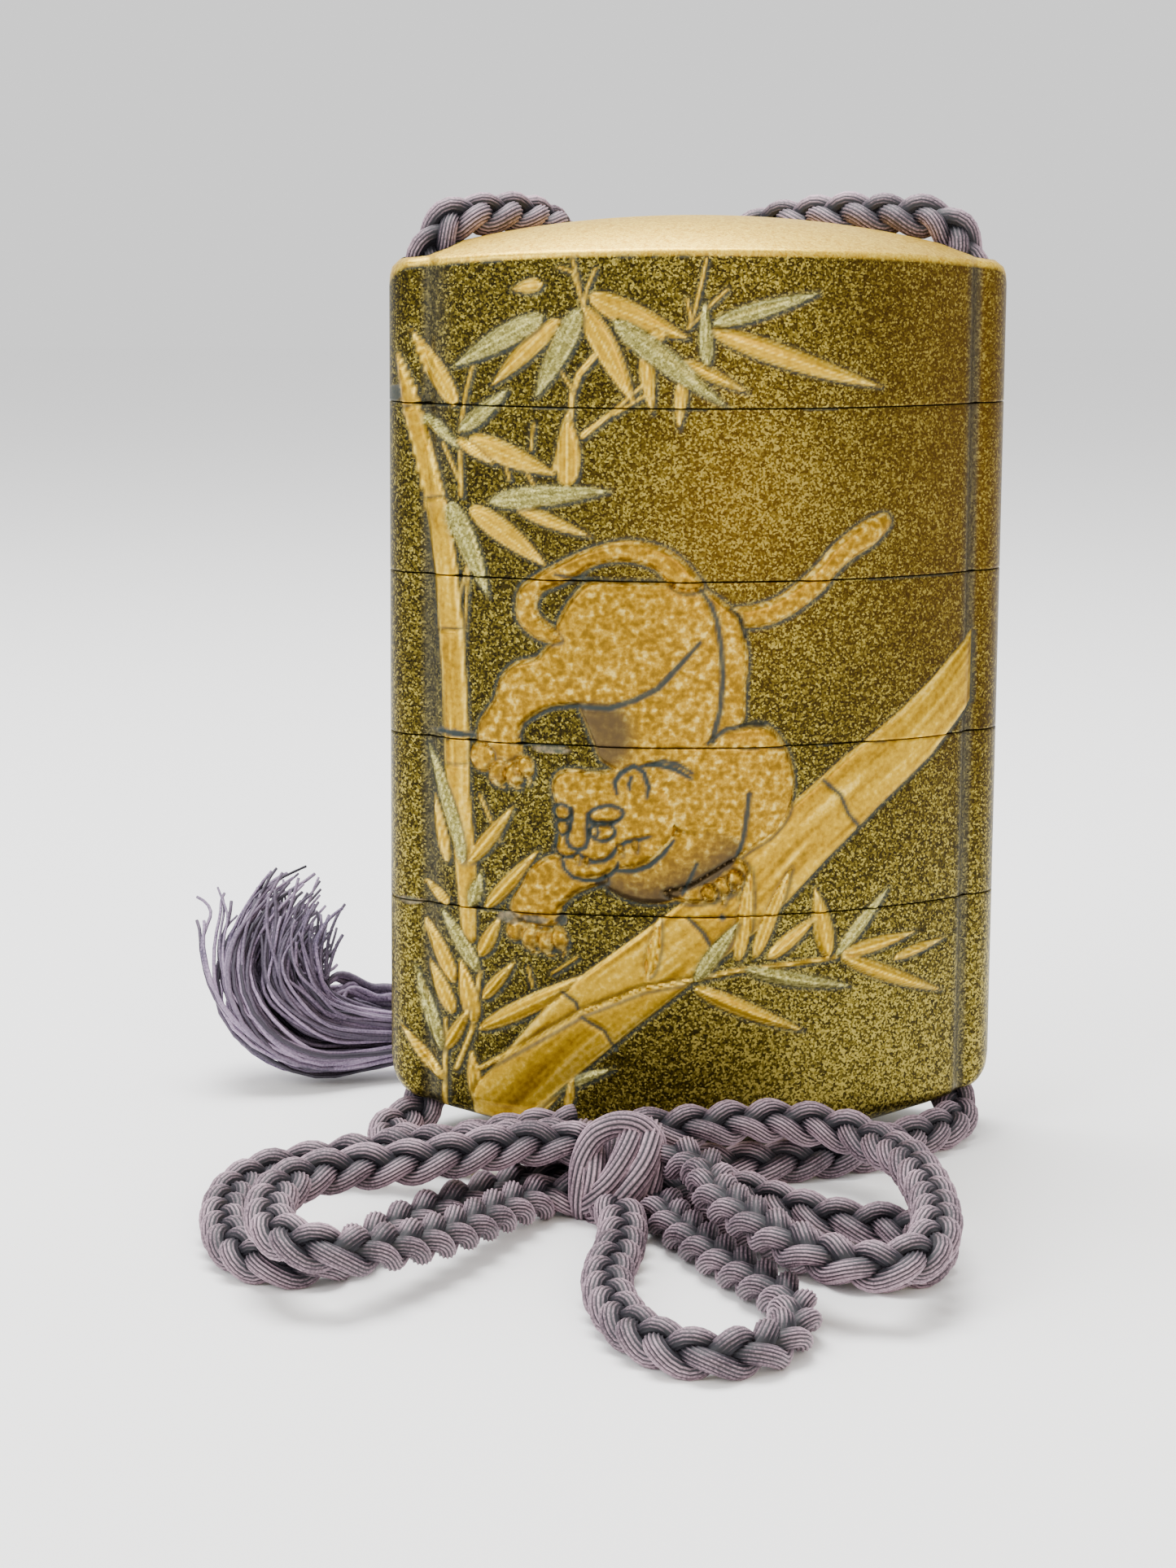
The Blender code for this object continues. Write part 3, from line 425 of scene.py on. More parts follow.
def silk_material(name, dark, middle, pale):
    """Dyed silk: painted shade in the gaps, and between a middle and a pale colour on the crests."""
    made, tree, shader = blank(name)
    place = node(tree, "TexCoord").outputs["Object"]
    crest = stored(tree, "crest")
    broad = noise(tree, place, PATCH_SIZE, 2.0)
    fibre = noise(tree, place, YARN_PITCH / 2, 1.0)
    mixed = maths(tree, "MULTIPLY", broad, 0.55)
    mixed = maths(tree, "MULTIPLY_ADD", fibre, 0.45, mixed)
    body = ramp_of(tree, mixed, ((0.36, middle), (0.64, pale)))
    # Painted shade: the lower a point lies between the yarns, the nearer it comes to the dark colour.
    shade = node(tree, "MapRange", {"Value": crest, "From Min": 0.12, "From Max": 0.92}).outputs[0]
    colour = painted(tree, shade, tint(dark), body)
    bump = node(tree, "Bump", {"Height": fibre, "Strength": 0.25, "Distance": 0.05 * MM})
    fill(tree, shader, {"Base Color": colour, "Normal": bump.outputs["Normal"], "Roughness": 0.62,
                        "Sheen Weight": 0.08, "Sheen Roughness": 0.4, "Sheen Tint": tint("#d8c8dc")})
    return made


# The first colour of each silk is its painted shade in the gaps.
SILK = silk_material("mauve_silk", "#090814", "#5c4b55", "#c6a7b5")
LOOSE_SILK = silk_material("loose_mauve_silk", "#0f0b1a", "#4b3f5a", "#a18ca8")
print("silks:", SILK.name, LOOSE_SILK.name)

# %% [markdown]
# ## The braid
# The cord is a flat plait of three bundles: each one swings from side to side and dips under its
# neighbours twice in every turn. Sine waves say this exactly, one for the swing and one of double
# speed for the dip, so each bundle's own path is worked out from them and swept along the route. Near
# the plait's middle line, where the bundles press on one another, the yarns get painted shade.

# %% Plait the cord
PLAIT_TURN = 11.4
STRANDS = 3
STRAND_RADIUS = 1.0
SWING = 1.22
DIP = 0.70
STRAND_STEP = 0.55
STRAND_YARNS = 15
STRAND_TWIST = 0.10
STRAND_FLAT = 0.84
STRAND_GAP = 0.2
BROAD_SIDE = (0.0, -0.72, 0.69)
LEAST_BROAD = 0.25
CREVICE = (1.05, 1.85)
CREVICE_SHADE = 0.06
START_TURN = 0.9
TUCK = 1.8


def flat_side(points):
    """Directions across and above the plait, which shows its broad side to the front and above."""
    heading, side, up = travel(points)
    broad = np.cross(heading, BROAD_SIDE)
    strength = np.linalg.norm(broad, axis=1)
    for index in range(len(points)):
        moved = side[max(index - 1, 0)]
        if strength[index] > LEAST_BROAD:
            likeness = broad[index] @ (moved if index else broad[0])
            moved = broad[index] / strength[index] * np.sign(likeness + 1e-9)
        moved = moved - heading[index] * (moved @ heading[index])
        side[index] = moved / np.linalg.norm(moved)
    return side, np.cross(side, heading)


def plait(route, start=0.0):
    """The bundles of a three-strand plait along a route."""
    line, length = even(smooth(route), STRAND_STEP)
    side, up = flat_side(line)
    along = np.linspace(0, length, len(line))
    parts = []
    for strand in range(STRANDS):
        turn = 2 * math.pi * (along / PLAIT_TURN + strand / STRANDS) + start
        path = (line + side * (SWING * np.sin(turn))[:, None]
                + up * (DIP * np.sin(2 * turn))[:, None])
        sides = 2 * STRAND_YARNS
        corners, faces, crest = bundle(path, STRAND_RADIUS, STRAND_YARNS, STRAND_TWIST, sides,
                                       flat=STRAND_FLAT, gap=STRAND_GAP)
        # Painted shade near the plait's middle line, where the bundles press on one another.
        out = np.linalg.norm(corners - np.repeat(line, sides, axis=0), axis=1)
        deep = np.clip((out - CREVICE[0]) / (CREVICE[1] - CREVICE[0]), 0, 1)
        parts.append((corners, faces, crest * (CREVICE_SHADE + (1 - CREVICE_SHADE) * deep)))
    return parts, line, length


def tucked(route):
    """Lengthen a loop's ends into the knot, where they are held."""
    ends = []
    for tip, inner in ((route[0], route[1]), (route[-1], route[-2])):
        way = unit(np.array([np.array(tip) - np.array(inner)]))[0]
        ends.append(tuple(np.array(tip) + TUCK * way))
    return [ends[0]] + list(route) + [ends[1]]


cords = {}
for number, (cord_name, route) in enumerate(CORD_ROUTES.items()):
    if cord_name.startswith("loop"):
        route = tucked(route)
    else:
        route = list(route) + [tucked(route)[-1]]
    parts, line, length = plait(route, start=number * START_TURN)
    piece = silk_piece(cord_name + "_braid", parts, SILK)
    cords[cord_name] = (piece, line, length)
    print(cord_name, round(length, 1), "mm,", len(piece.data.polygons), "faces")

# %% [markdown]
# ## The knot
# The bow is held by a tight knot of the same silk. Four wraps, each a closed hoop that leans its own
# way, go round a plump core that fills the inside. Four strands cross the front over them: one climbs
# the left side and turns over the top, and three run down to the lower left.

# %% Tie the knot
KNOT_LOW, KNOT_HIGH = [np.array(corner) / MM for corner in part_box("knot")]
KNOT_MIDDLE = (KNOT_LOW + KNOT_HIGH) / 2
KNOT_HALF = (KNOT_HIGH - KNOT_LOW) / 2
# Each wrap: how far along the knot it lies (x), how much it leans, its radius and its swell
KNOT_WRAPS = ((-2.3, 0.02, 1.5, -0.15), (0.1, 0.20, 1.9, 0.15), (2.4, 0.15, 1.5, -0.10),
              (-1.2, -0.30, 1.3, -0.40))
# Each strand: its places across and up, its radius and how far it stands out
KNOT_STRANDS = (
    (((-2.4, -4.2), (-3.1, -2.4), (-3.3, 0.0), (-3.0, 2.2), (-2.0, 4.0), (-0.2, 4.9), (1.7, 4.7),
      (3.1, 3.5), (3.5, 1.4)), 1.15, 0.35),
    (((1.6, -1.4), (0.6, -3.2), (-0.9, -4.5), (-2.5, -4.2)), 1.1, 0.1),
    (((1.4, 4.5), (0.3, 2.2), (-0.8, 0.3), (-2.1, -1.4), (-3.0, -2.8)), 1.15, 0.55),
    (((3.0, 4.2), (2.2, 1.9), (0.8, -0.4), (-0.7, -2.7), (-2.1, -4.4)), 1.3, 0.95))
KNOT_ROUND = (5.4, 6.6)
STRAND_ENDS_IN = 1.6
WRAP_STOPS = 48
WRAP_INSET = 0.86
CORE_RADIUS = 2.6
CORE_INSET = 2.2
CORE_RINGS = 9


def knot_strand(route, radius, lift):
    """One strand that crosses the front of the knot and goes in at both ends."""
    line, _ = even(smooth([(x, 0.0, z) for x, z in route]), 0.4)
    round_off = (line[:, 0] / KNOT_ROUND[0]) ** 2 + (line[:, 2] / KNOT_ROUND[1]) ** 2
    share = np.linspace(-1, 1, len(line))
    tuck = STRAND_ENDS_IN * np.abs(share) ** 6
    line[:, 1] = -(KNOT_HALF[1] - 0.5) * np.sqrt(np.clip(1 - round_off, 0.04, 1)) - lift + tuck
    return bundle(KNOT_MIDDLE + line, radius, 13, 0.16, 26, flat=0.8, lift=(0.0, -1.0, 0.0), gap=0.2)


def knot_wrap(offset, lean, radius, swell):
    """One closed wrap around the knot."""
    angle = 2 * math.pi * np.arange(WRAP_STOPS + 1) / WRAP_STOPS
    deep = KNOT_HALF[1] - radius * WRAP_INSET + swell
    high = KNOT_HALF[2] - radius * WRAP_INSET + swell
    y = deep * np.sign(np.cos(angle)) * np.abs(np.cos(angle)) ** 0.8
    z = high * np.sign(np.sin(angle)) * np.abs(np.sin(angle)) ** 0.8
    x = offset + lean * z - lean * 0.4 * y
    path = KNOT_MIDDLE + np.stack([x, y, z], axis=1)
    return bundle(path, radius, 15, 0.22, 30, flat=0.86, lift=(1.0, 0.0, 0.0), gap=0.12)


parts = [knot_wrap(*wrap) for wrap in KNOT_WRAPS]
parts += [knot_strand(*strand) for strand in KNOT_STRANDS]
core_half = np.array((0, KNOT_HALF[1] - CORE_INSET, 0))
core_line = np.linspace(KNOT_MIDDLE - core_half, KNOT_MIDDLE + core_half, CORE_RINGS)
core_radius = CORE_RADIUS * np.sqrt(1 - np.linspace(-0.8, 0.8, CORE_RINGS) ** 2)
parts.append(bundle(core_line, core_radius, 15, 0.2, 30))
knot = silk_piece("knot_wraps", parts, SILK)
print("knot:", len(knot.data.polygons), "faces")

# %% [markdown]
# ## The tassel
# The cord's two ends are unbraided behind the case and have frayed into a tuft that sweeps left and
# curls up. Hair particles would be quick, but a mesh lasts: each yarn is a thin tube that follows the
# tuft's spine and drifts away from it towards its tip. Yarns cling together as they fray, so each one
# belongs to a clump and stays near it. The second end is a short lock of fewer, thicker yarns.

# %% Fray the tassel
# Each stop of a spine: its place and how far the yarns spread there
TASSEL_SPINE = ((-26.6, 21.6, 4.0, 2.3), (-32.0, 20.6, 4.2, 3.4), (-37.0, 19.4, 5.4, 4.8),
                (-40.4, 20.0, 8.6, 5.6), (-40.6, 22.4, 12.2, 5.2), (-38.8, 25.0, 15.4, 4.4),
                (-37.0, 26.8, 17.6, 3.8))
SECOND_END = ((-25.0, 24.5, 6.6, 1.9), (-30.0, 24.5, 7.4, 1.9), (-33.6, 23.8, 8.6, 2.0),
              (-36.4, 22.6, 7.6, 2.2), (-38.6, 21.4, 4.6, 2.0))
TASSEL_YARNS = 440
SECOND_YARNS = 34
CLUMPS = 52
SECOND_CLUMPS = 9
TASSEL_SIDES = 5
TASSEL_RINGS = 22
TASSEL_LOW = 0.05
YARN_WAVE = 0.40
chance = np.random.default_rng(11)


def loose_yarn(rows, clump, thin, thick, spread):
    """One loose yarn of a clump: it follows a spine, drifts off it and ends where it likes."""
    spine, side, up, reach = rows
    angle, share, length, turn, drift = clump
    angle, share = angle + chance.normal(0, 0.22), min(abs(share + chance.normal(0, 0.10)), 1.0)
    length = min(length * chance.uniform(0.82, 1.08), 1.0)
    count = len(spine)
    stops = np.linspace(0, (count - 1) * length, TASSEL_RINGS)
    pick = [np.stack([np.interp(stops, np.arange(count), part[:, axis]) for axis in range(3)], axis=1)
            for part in (spine, side, up)]
    wide = np.interp(stops, np.arange(count), reach)
    along = np.linspace(0, 1, TASSEL_RINGS)
    swirl = angle + turn * along
    place = (pick[0] + pick[1] * (wide * share * np.cos(swirl))[:, None]
             + pick[2] * (wide * share * np.sin(swirl))[:, None])
    place = place + (drift * spread + chance.normal(0, 0.7, 3) * spread) * (along ** 3)[:, None]
    for axis in (0, 2):
        wave, start = chance.uniform(2.0, 5.0), chance.uniform(0, 6.3)
        place[:, axis] += YARN_WAVE * np.sin(wave * math.pi * along + start) * along ** 0.6
    return bundle(place, chance.uniform(thin, thick) * (1 - 0.4 * along), 2, 0.0, TASSEL_SIDES, gap=0.0)


def loose_end(route, clumps, yarns, thin, thick, spread):
    """A frayed cord end: clumps of yarns round a spine."""
    spine = smooth([row[:3] for row in route], fine=8)
    reach = smooth([(row[3], 0.0, 0.0) for row in route], fine=8)[:, 0]
    _, side, up = travel(spine)
    kinds = [(chance.uniform(0, 2 * math.pi), math.sqrt(chance.uniform(0.02, 1.0)),
              chance.uniform(0.72, 1.0), chance.normal(0, 0.6),
              chance.normal(0, 1.0, 3) * np.array((1.9, 0.9, 1.0)))
             for _ in range(clumps)]
    return [loose_yarn((spine, side, up, reach), kinds[number % clumps], thin, thick, spread)
            for number in range(yarns)]


parts = loose_end(TASSEL_SPINE, CLUMPS, TASSEL_YARNS, 0.19, 0.32, 1.0)
parts += loose_end(SECOND_END, SECOND_CLUMPS, SECOND_YARNS, 0.36, 0.5, 0.3)
# Each loose yarn gets a random share of the silk's painted shade, standing in for the shade among the
# yarns.
inner = np.repeat(chance.uniform(0.15, 1.0, TASSEL_YARNS + SECOND_YARNS), TASSEL_RINGS * TASSEL_SIDES)
tassel = silk_piece("tassel_yarns", parts, LOOSE_SILK, lowest=TASSEL_LOW, crest=inner)
print("tassel:", len(parts), "yarns,", len(tassel.data.polygons), "faces")

# %% [markdown]
# ## The case's plan
# From above the case is a lens: two shallow arcs, and at each narrow side a round runner that holds
# the cord, set off by a narrow flute. Every piece of the stack has this one outline, so it is worked
# out once, as stations across the width, and each piece is then lofted from copies of it: up the
# outside, over the top edge, up the riser and down into the hollow.

# %% Outline shared by the five pieces
HALF_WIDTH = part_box("case_2")[1][0] / MM
HALF_DEPTH = 12.5
RUNNER = 3.8
RUNNER_MIDDLE = HALF_WIDTH - RUNNER
FLUTE_WIDTH = 0.9
FLUTE_OUT = RUNNER_MIDDLE + 0.15 * RUNNER
FLUTE_IN = FLUTE_OUT - FLUTE_WIDTH
PANEL_EDGE = 4.7
PANEL_SAG = HALF_DEPTH - PANEL_EDGE
PANEL_RADIUS = (FLUTE_IN ** 2 + PANEL_SAG ** 2) / (2 * PANEL_SAG)
PANEL_STATIONS = 124
FLUTE_STATIONS = 6
RUNNER_STATIONS = 15


def half_depth(x):
    """Half the case's depth at places across its width."""
    across = np.abs(x)
    runner = np.sqrt(np.maximum(RUNNER ** 2 - (across - RUNNER_MIDDLE) ** 2, 0))
    panel = np.sqrt(PANEL_RADIUS ** 2 - np.minimum(across, FLUTE_IN) ** 2) - (PANEL_RADIUS - HALF_DEPTH)
    bottom = math.sqrt(RUNNER ** 2 - (FLUTE_OUT - RUNNER_MIDDLE) ** 2)
    share = np.clip((FLUTE_OUT - across) / (FLUTE_OUT - FLUTE_IN), 0, 1)
    flute = bottom + (PANEL_EDGE - bottom) * share ** 2
    return np.where(across >= FLUTE_OUT, runner, np.where(across <= FLUTE_IN, panel, flute))


def width_stations():
    """Places across the width, from the left end to the right."""
    first = math.acos((FLUTE_OUT - RUNNER_MIDDLE) / RUNNER)
    turn = np.linspace(first, 0, RUNNER_STATIONS + 1)[1:]
    right = np.concatenate([np.linspace(0, FLUTE_IN, PANEL_STATIONS + 1),
                            np.linspace(FLUTE_IN, FLUTE_OUT, FLUTE_STATIONS + 1)[1:],
                            RUNNER_MIDDLE + RUNNER * np.cos(turn)])
    right[-1] = HALF_WIDTH
    return np.concatenate([-right[::-1], right[1:]])


STATIONS = width_stations()
SPAN = len(STATIONS) - 1
AROUND = 2 * SPAN
PLAN_X = np.concatenate([STATIONS, STATIONS[-2:0:-1]])
FACING = np.concatenate([-np.ones(SPAN + 1), np.ones(SPAN - 1)])
PLAN_Y = FACING * half_depth(PLAN_X)
along_plan = np.roll([PLAN_X, PLAN_Y], -1, axis=1) - np.roll([PLAN_X, PLAN_Y], 1, axis=1)
OUTWARD = unit(np.stack([along_plan[1], -along_plan[0]], axis=1))
print("outline:", AROUND, "columns")

# %% [markdown]
# ## Rims and domes
# The lid's top and the base's underside are low domes. Their rims sag a little towards the sides and
# round over there, so a rim isn't one height: it is a height for each place across the width.

# %% Heights of the rims and domes
SEAM = 0.10
RIM_BOW = 1.2
RIM_BOW_GAIN = 0.35
LID_DOME = {"rise": 3.0, "fall": 0.9, "corner": 1.8}
BASE_DOME = {"rise": 4.1, "fall": 1.3, "corner": 3.0}
RISER = 2.6
FRAME_GAP = 0.3
SEAMS = [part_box(name)[0][2] / MM - FRAME_GAP / 2 for name in ("lid", "case_1", "case_2", "case_3")]
LID_WALL = 14.2
LID_RIM = SEAMS[0] + LID_WALL
BASE_RIM = 2.9


def corner_drop(x, radius):
    """How far a rim has fallen where it rounds over at the narrow side."""
    past = np.maximum(np.abs(x) - (HALF_WIDTH - radius), 0)
    return radius - np.sqrt(np.maximum(radius ** 2 - past ** 2, 0))


def dome(x, y, rise, fall, corner):
    """Height over the rim's middle."""
    share = np.minimum(np.abs(y) / np.maximum(half_depth(x), 1e-3), 1)
    across = (x / HALF_WIDTH) ** 2
    rim = -RIM_BOW * across * (1 + RIM_BOW_GAIN * across)
    return rim + rise * np.maximum(1 - fall * across, 0) * (1 - share ** 2) - corner_drop(x, corner)


def lid_top(x, y):
    """The lid's upper surface."""
    return LID_RIM + dome(x, y, **LID_DOME)


def base_under(x, y):
    """The base's lower surface, flat where it stands."""
    return np.maximum(BASE_RIM - dome(x, y, **BASE_DOME), 0.0)


print("seams at", [round(seam, 2) for seam in SEAMS], "mm, rim at", round(LID_RIM, 1))

# %% [markdown]
# ## Drawing with distances
# The raised lacquer could be sculpted, or cut from flat shapes, but neither gives the soft, slightly
# swollen edge of lacquer that was built up in layers. Here every leaf, culm and limb is a function
# that says how deep inside its edge a point lies. From that one number come the height, the gold, the
# dark line that the maker left round each shape, and a painted highlight and shadow along its edge.

# %% Distance inside leaves, stems, ellipses and outlines
FIGURE_LIFT = 0.5
LEAF_SCALE = 2.49
TABLE = 64
TABLE_SHIFT = 200


def soft_step(value, half):
    """A smooth step from 0 to 1, centred on 0."""
    share = np.clip(value / (2 * half) + 0.5, 0, 1)
    return share * share * (3 - 2 * share)


def bell(value, wide):
    """A soft hump, 1 where the value is 0."""
    return np.exp(-(value / wide) ** 2)


def in_leaf(x, z, root, turn, length, width, bend=0.0):
    """Distance inside a bamboo leaf, and the places along and across it."""
    swing = math.radians(turn)
    along = ((x - root[0]) * math.cos(swing) + (z - root[1]) * math.sin(swing)) / length
    across = -(x - root[0]) * math.sin(swing) + (z - root[1]) * math.cos(swing)
    inside = np.clip(along, 0, 1)
    across = across - bend * length * inside * (1 - inside)
    wide = width / 2 * LEAF_SCALE * inside ** 0.5 * (1 - inside) ** 0.9
    ends = np.minimum(along, 1 - along) * length
    return np.minimum(wide - np.abs(across), ends + 0.08), along, across


def in_stem(x, z, route):
    """Distance inside a stem of changing width, and the places along and across it."""
    best = np.full(x.shape, -1e3)
    along = np.zeros(x.shape)
    across = np.zeros(x.shape)
    gone = 0.0
    for (ax, az, aw), (bx, bz, bw) in zip(route, route[1:]):
        length = math.hypot(bx - ax, bz - az)
        share = np.clip(((x - ax) * (bx - ax) + (z - az) * (bz - az)) / length ** 2, 0, 1)
        off = np.hypot(x - ax - share * (bx - ax), z - az - share * (bz - az))
        depth = (aw + share * (bw - aw)) / 2 - off
        side = ((x - ax) * (bz - az) - (z - az) * (bx - ax)) / length
        nearer = depth > best
        best = np.where(nearer, depth, best)
        along = np.where(nearer, gone + share * length, along)
        across = np.where(nearer, side, across)
        gone += length
    return best, along, across


def in_ellipse(x, z, middle_x, middle_z, radius_x, radius_z, turn=0.0):
    """Distance inside an ellipse, near enough."""
    swing = math.radians(turn)
    a = ((x - middle_x) * math.cos(swing) + (z - middle_z) * math.sin(swing)) / radius_x
    b = (-(x - middle_x) * math.sin(swing) + (z - middle_z) * math.cos(swing)) / radius_z
    return (1 - np.hypot(a, b)) * min(radius_x, radius_z)


def in_outline(x, z, points, fine=5):
    """Distance inside a smooth closed outline."""
    line = smooth([(px, pz, 0.0) for px, pz in points], fine, closed=True)[:, :2]
    nearest = np.full(x.shape, 1e3)
    inside = np.zeros(x.shape, bool)
    for (ax, az), (bx, bz) in zip(line, np.roll(line, -1, axis=0)):
        length = max((bx - ax) ** 2 + (bz - az) ** 2, 1e-9)
        share = np.clip(((x - ax) * (bx - ax) + (z - az) * (bz - az)) / length, 0, 1)
        off = np.hypot(x - ax - share * (bx - ax), z - az - share * (bz - az))
        nearest = np.minimum(nearest, off)
        if az != bz:
            inside ^= ((az > z) != (bz > z)) & (x < (bx - ax) * (z - az) / (bz - az) + ax)
    return np.where(inside, nearest, -nearest)


def speckle(x, z, size_x, size_z, seed):
    """Smooth random values between -1 and 1, on a grid of the given spacing."""
    table = np.random.default_rng(seed).uniform(-1, 1, (TABLE, TABLE))
    u, v = x / size_x + TABLE_SHIFT, z / size_z + TABLE_SHIFT
    i, j = np.floor(u).astype(int), np.floor(v).astype(int)
    fu, fv = u - i, v - j
    fu, fv = fu * fu * (3 - 2 * fu), fv * fv * (3 - 2 * fv)
    i, j = i % TABLE, j % TABLE
    k, m = (i + 1) % TABLE, (j + 1) % TABLE
    low = table[i, j] * (1 - fu) + table[k, j] * fu
    high = table[i, m] * (1 - fu) + table[k, m] * fu
    return low * (1 - fv) + high * fv


print("middle of a 10 mm leaf lies", round(float(in_leaf(np.array([4.0]), np.array([0.0]),
                                                         (0, 0), 0, 10, 2)[0][0]), 2), "mm inside")

# %% [markdown]
# ## Laying one shape over another
# Lacquer is built up from the back of the picture to the front, so the shapes are laid in the same
# order. Each new one hides what it covers, raises the surface, draws its dark outline, paints a pale
# highlight just inside its edge and drops a narrow painted shadow to its lower right. A shape without a
# groove keeps the higher of two surfaces, so it joins its neighbour smoothly.

# %% Lay a shape, draw a line
LAYERS = ("height", "gold", "silver", "fur", "ink_and_shadow", "shade", "streak_and_highlight", "chip")
NEAR = 0.7


def blank_panel(shape):
    """A panel with nothing on it."""
    return {name: np.zeros(shape) for name in LAYERS}


def lay(panel, depth, height, kind, edge=0.16, swell=0.0, reach=1.0, ink_and_shadow=0.7, groove=0.07):
    """Lay a raised shape on the panel, where depth is the distance inside its edge."""
    cover = soft_step(depth, 0.10)
    # A painted shadow to the lower right of the shape, drawn with its dark outline.
    beside = np.roll(depth, (-1, 1), axis=(0, 1))
    shadow = soft_step(beside + 0.12, 0.16) * (1 - cover)
    rim = np.maximum(0.5 * bell(depth + 0.17, 0.15) * (depth < 0.08), shadow)
    for name in ("gold", "silver", "fur", "shade", "streak_and_highlight"):
        panel[name] *= 1 - cover
    panel[kind] += cover
    # A painted highlight just inside the shape's edge.
    panel["streak_and_highlight"] += 0.9 * cover * bell(depth - 0.12, 0.12)
    panel["ink_and_shadow"] = np.maximum(panel["ink_and_shadow"] * (1 - cover), ink_and_shadow * rim)
    rise = height * soft_step(depth - edge, edge) + swell * (1 - np.exp(-np.maximum(depth, 0) / reach))
    if not groove:
        rise = np.maximum(rise, panel["height"])
    panel["height"] = panel["height"] * (1 - cover) + rise * cover - groove * rim
    return cover


def draw(panel, x, z, route, ink_and_shadow=0.95, groove=0.16):
    """Draw a dark engraved line, given as points with widths."""
    depth, _, _ = in_stem(x, z, route)
    line = soft_step(depth + 0.05, 0.12)
    panel["ink_and_shadow"] = np.maximum(panel["ink_and_shadow"], ink_and_shadow * line)
    panel["height"] -= groove * line


def lay_leaf(panel, x, z, root, turn, length, width, kind):
    """Lay one bamboo leaf with its midrib."""
    bend = 0.05 * math.sin(root[0] * 3.1 + turn)
    depth, along, across = in_leaf(x, z, root, turn, length, width, bend)
    if not (depth > -NEAR).any():
        return
    cover = lay(panel, depth, 0.26, kind, swell=0.10, reach=0.5)
    rib = bell(across, 0.10) * cover * (along < 0.92)
    veins = np.cos(2 * math.pi * across / 0.42) * cover * 0.5
    panel["height"] += 0.05 * rib + 0.012 * veins
    panel["streak_and_highlight"] += 0.8 * rib + 0.35 * veins


def lay_stem(panel, x, z, route, height, kind="gold", rings=(), fibre=0.3, limit=None):
    """Lay a culm or a twig, with its joints, cut off at a limit on the right if one is given."""
    depth, along, across = in_stem(x, z, route)
    if limit is not None:
        depth = np.minimum(depth, limit - x)
    if not (depth > -NEAR).any():
        return
    wide = max(row[2] for row in route) / 2
    cover = lay(panel, depth, height * 0.6, kind, swell=height * 0.5, reach=wide * 0.4)
    grain = speckle(across, along, fibre, 7.0, 5) + 0.6 * speckle(across, along, fibre * 0.5, 4.0, 6)
    panel["streak_and_highlight"] += cover * grain * 0.6
    panel["height"] += 0.02 * cover * grain
    for place in rings:
        step = along - place
        panel["height"] += cover * (0.10 * bell(step - 0.45, 0.25) - 0.16 * bell(step, 0.16))
        panel["ink_and_shadow"] = np.maximum(panel["ink_and_shadow"], 0.8 * cover * bell(step, 0.13))


print("layers:", LAYERS)

# %% [markdown]
# ## The bamboo
# The bamboo has two culms and many sprays. Each leaf is written as the place of its root, its direction,
# its length and its width, and the leaves of one spray have their roots close together. Some are plain
# gold and some a greener silver-gold, as on the real lacquer, which sets the near leaves off from the far.

# %% Bamboo leaves and culms, in millimetres across and up the panel
GOLD_LEAVES = (
    (-14.1, 77.7, -134, 8.4, 1.7), (-12.0, 78.9, -62, 9.9, 2.1), (-11.4, 79.9, -23, 9.6, 2.2),
    (-6.4, 74.9, -83, 5.5, 1.3), (-3.0, 72.5, -94, 4.4, 1.1), (-3.1, 74.1, -25, 6.5, 1.1),
    (-0.6, 76.9, -18, 17.0, 1.9), (-15.6, 80.9, -168, 2.6, 1.2), (-4.6, 76.6, -158, 3.6, 1.2),
    (-23.2, 69.7, 120, 7.8, 1.7), (-22.0, 66.8, -22, 8.3, 2.0),
    (-23.1, 66.6, -33, 3.9, 1.0), (-13.3, 62.6, 90, 6.8, 2.1), (-17.9, 60.7, -21, 7.1, 1.2),
    (-21.9, 60.4, -37, 8.5, 2.0), (-23.9, 27.0, 100, 6.4, 1.0), (-21.9, 27.2, 55, 6.7, 1.3),
    (-20.4, 23.0, 51, 7.4, 1.3), (-23.8, 22.9, 133, 3.0, 1.0), (-23.3, 15.5, 114, 6.8, 1.4),
    (-21.0, 18.3, 65, 4.3, 1.3), (-21.0, 11.3, 29, 14.0, 1.7), (-20.7, 14.2, 53, 4.8, 1.1),
    (-21.5, 11.8, 102, 6.2, 1.6), (-23.4, 12.5, 113, 5.3, 1.4), (-24.3, 5.9, 129, 6.2, 1.1),
    (-24.2, 8.9, 62, 4.8, 1.2), (-21.0, 3.7, 98, 5.6, 1.3), (-16.6, 3.0, 46, 5.4, 1.1))
SILVER_LEAVES = (
    (-15.5, 78.0, -149, 9.2, 2.0), (-12.2, 78.7, -116, 8.9, 2.0), (-9.2, 77.7, -37, 12.7, 2.1),
    (-0.3, 77.4, 16, 10.1, 1.5), (-0.8, 73.7, 93, 5.9, 1.2), (-22.8, 67.4, 43, 5.7, 1.4),
    (-26.0, 68.7, -43, 4.3, 1.1), (-20.1, 61.0, 7, 10.6, 1.9), (-23.7, 60.8, -68, 9.1, 1.9),
    (-22.4, 27.1, 106, 11.4, 1.4), (-21.7, 23.0, 77, 3.5, 1.1), (-21.2, 16.8, 120, 6.6, 1.4),
    (-24.4, 8.8, 107, 8.3, 1.2), (-20.5, 3.6, 22, 12.6, 1.7))
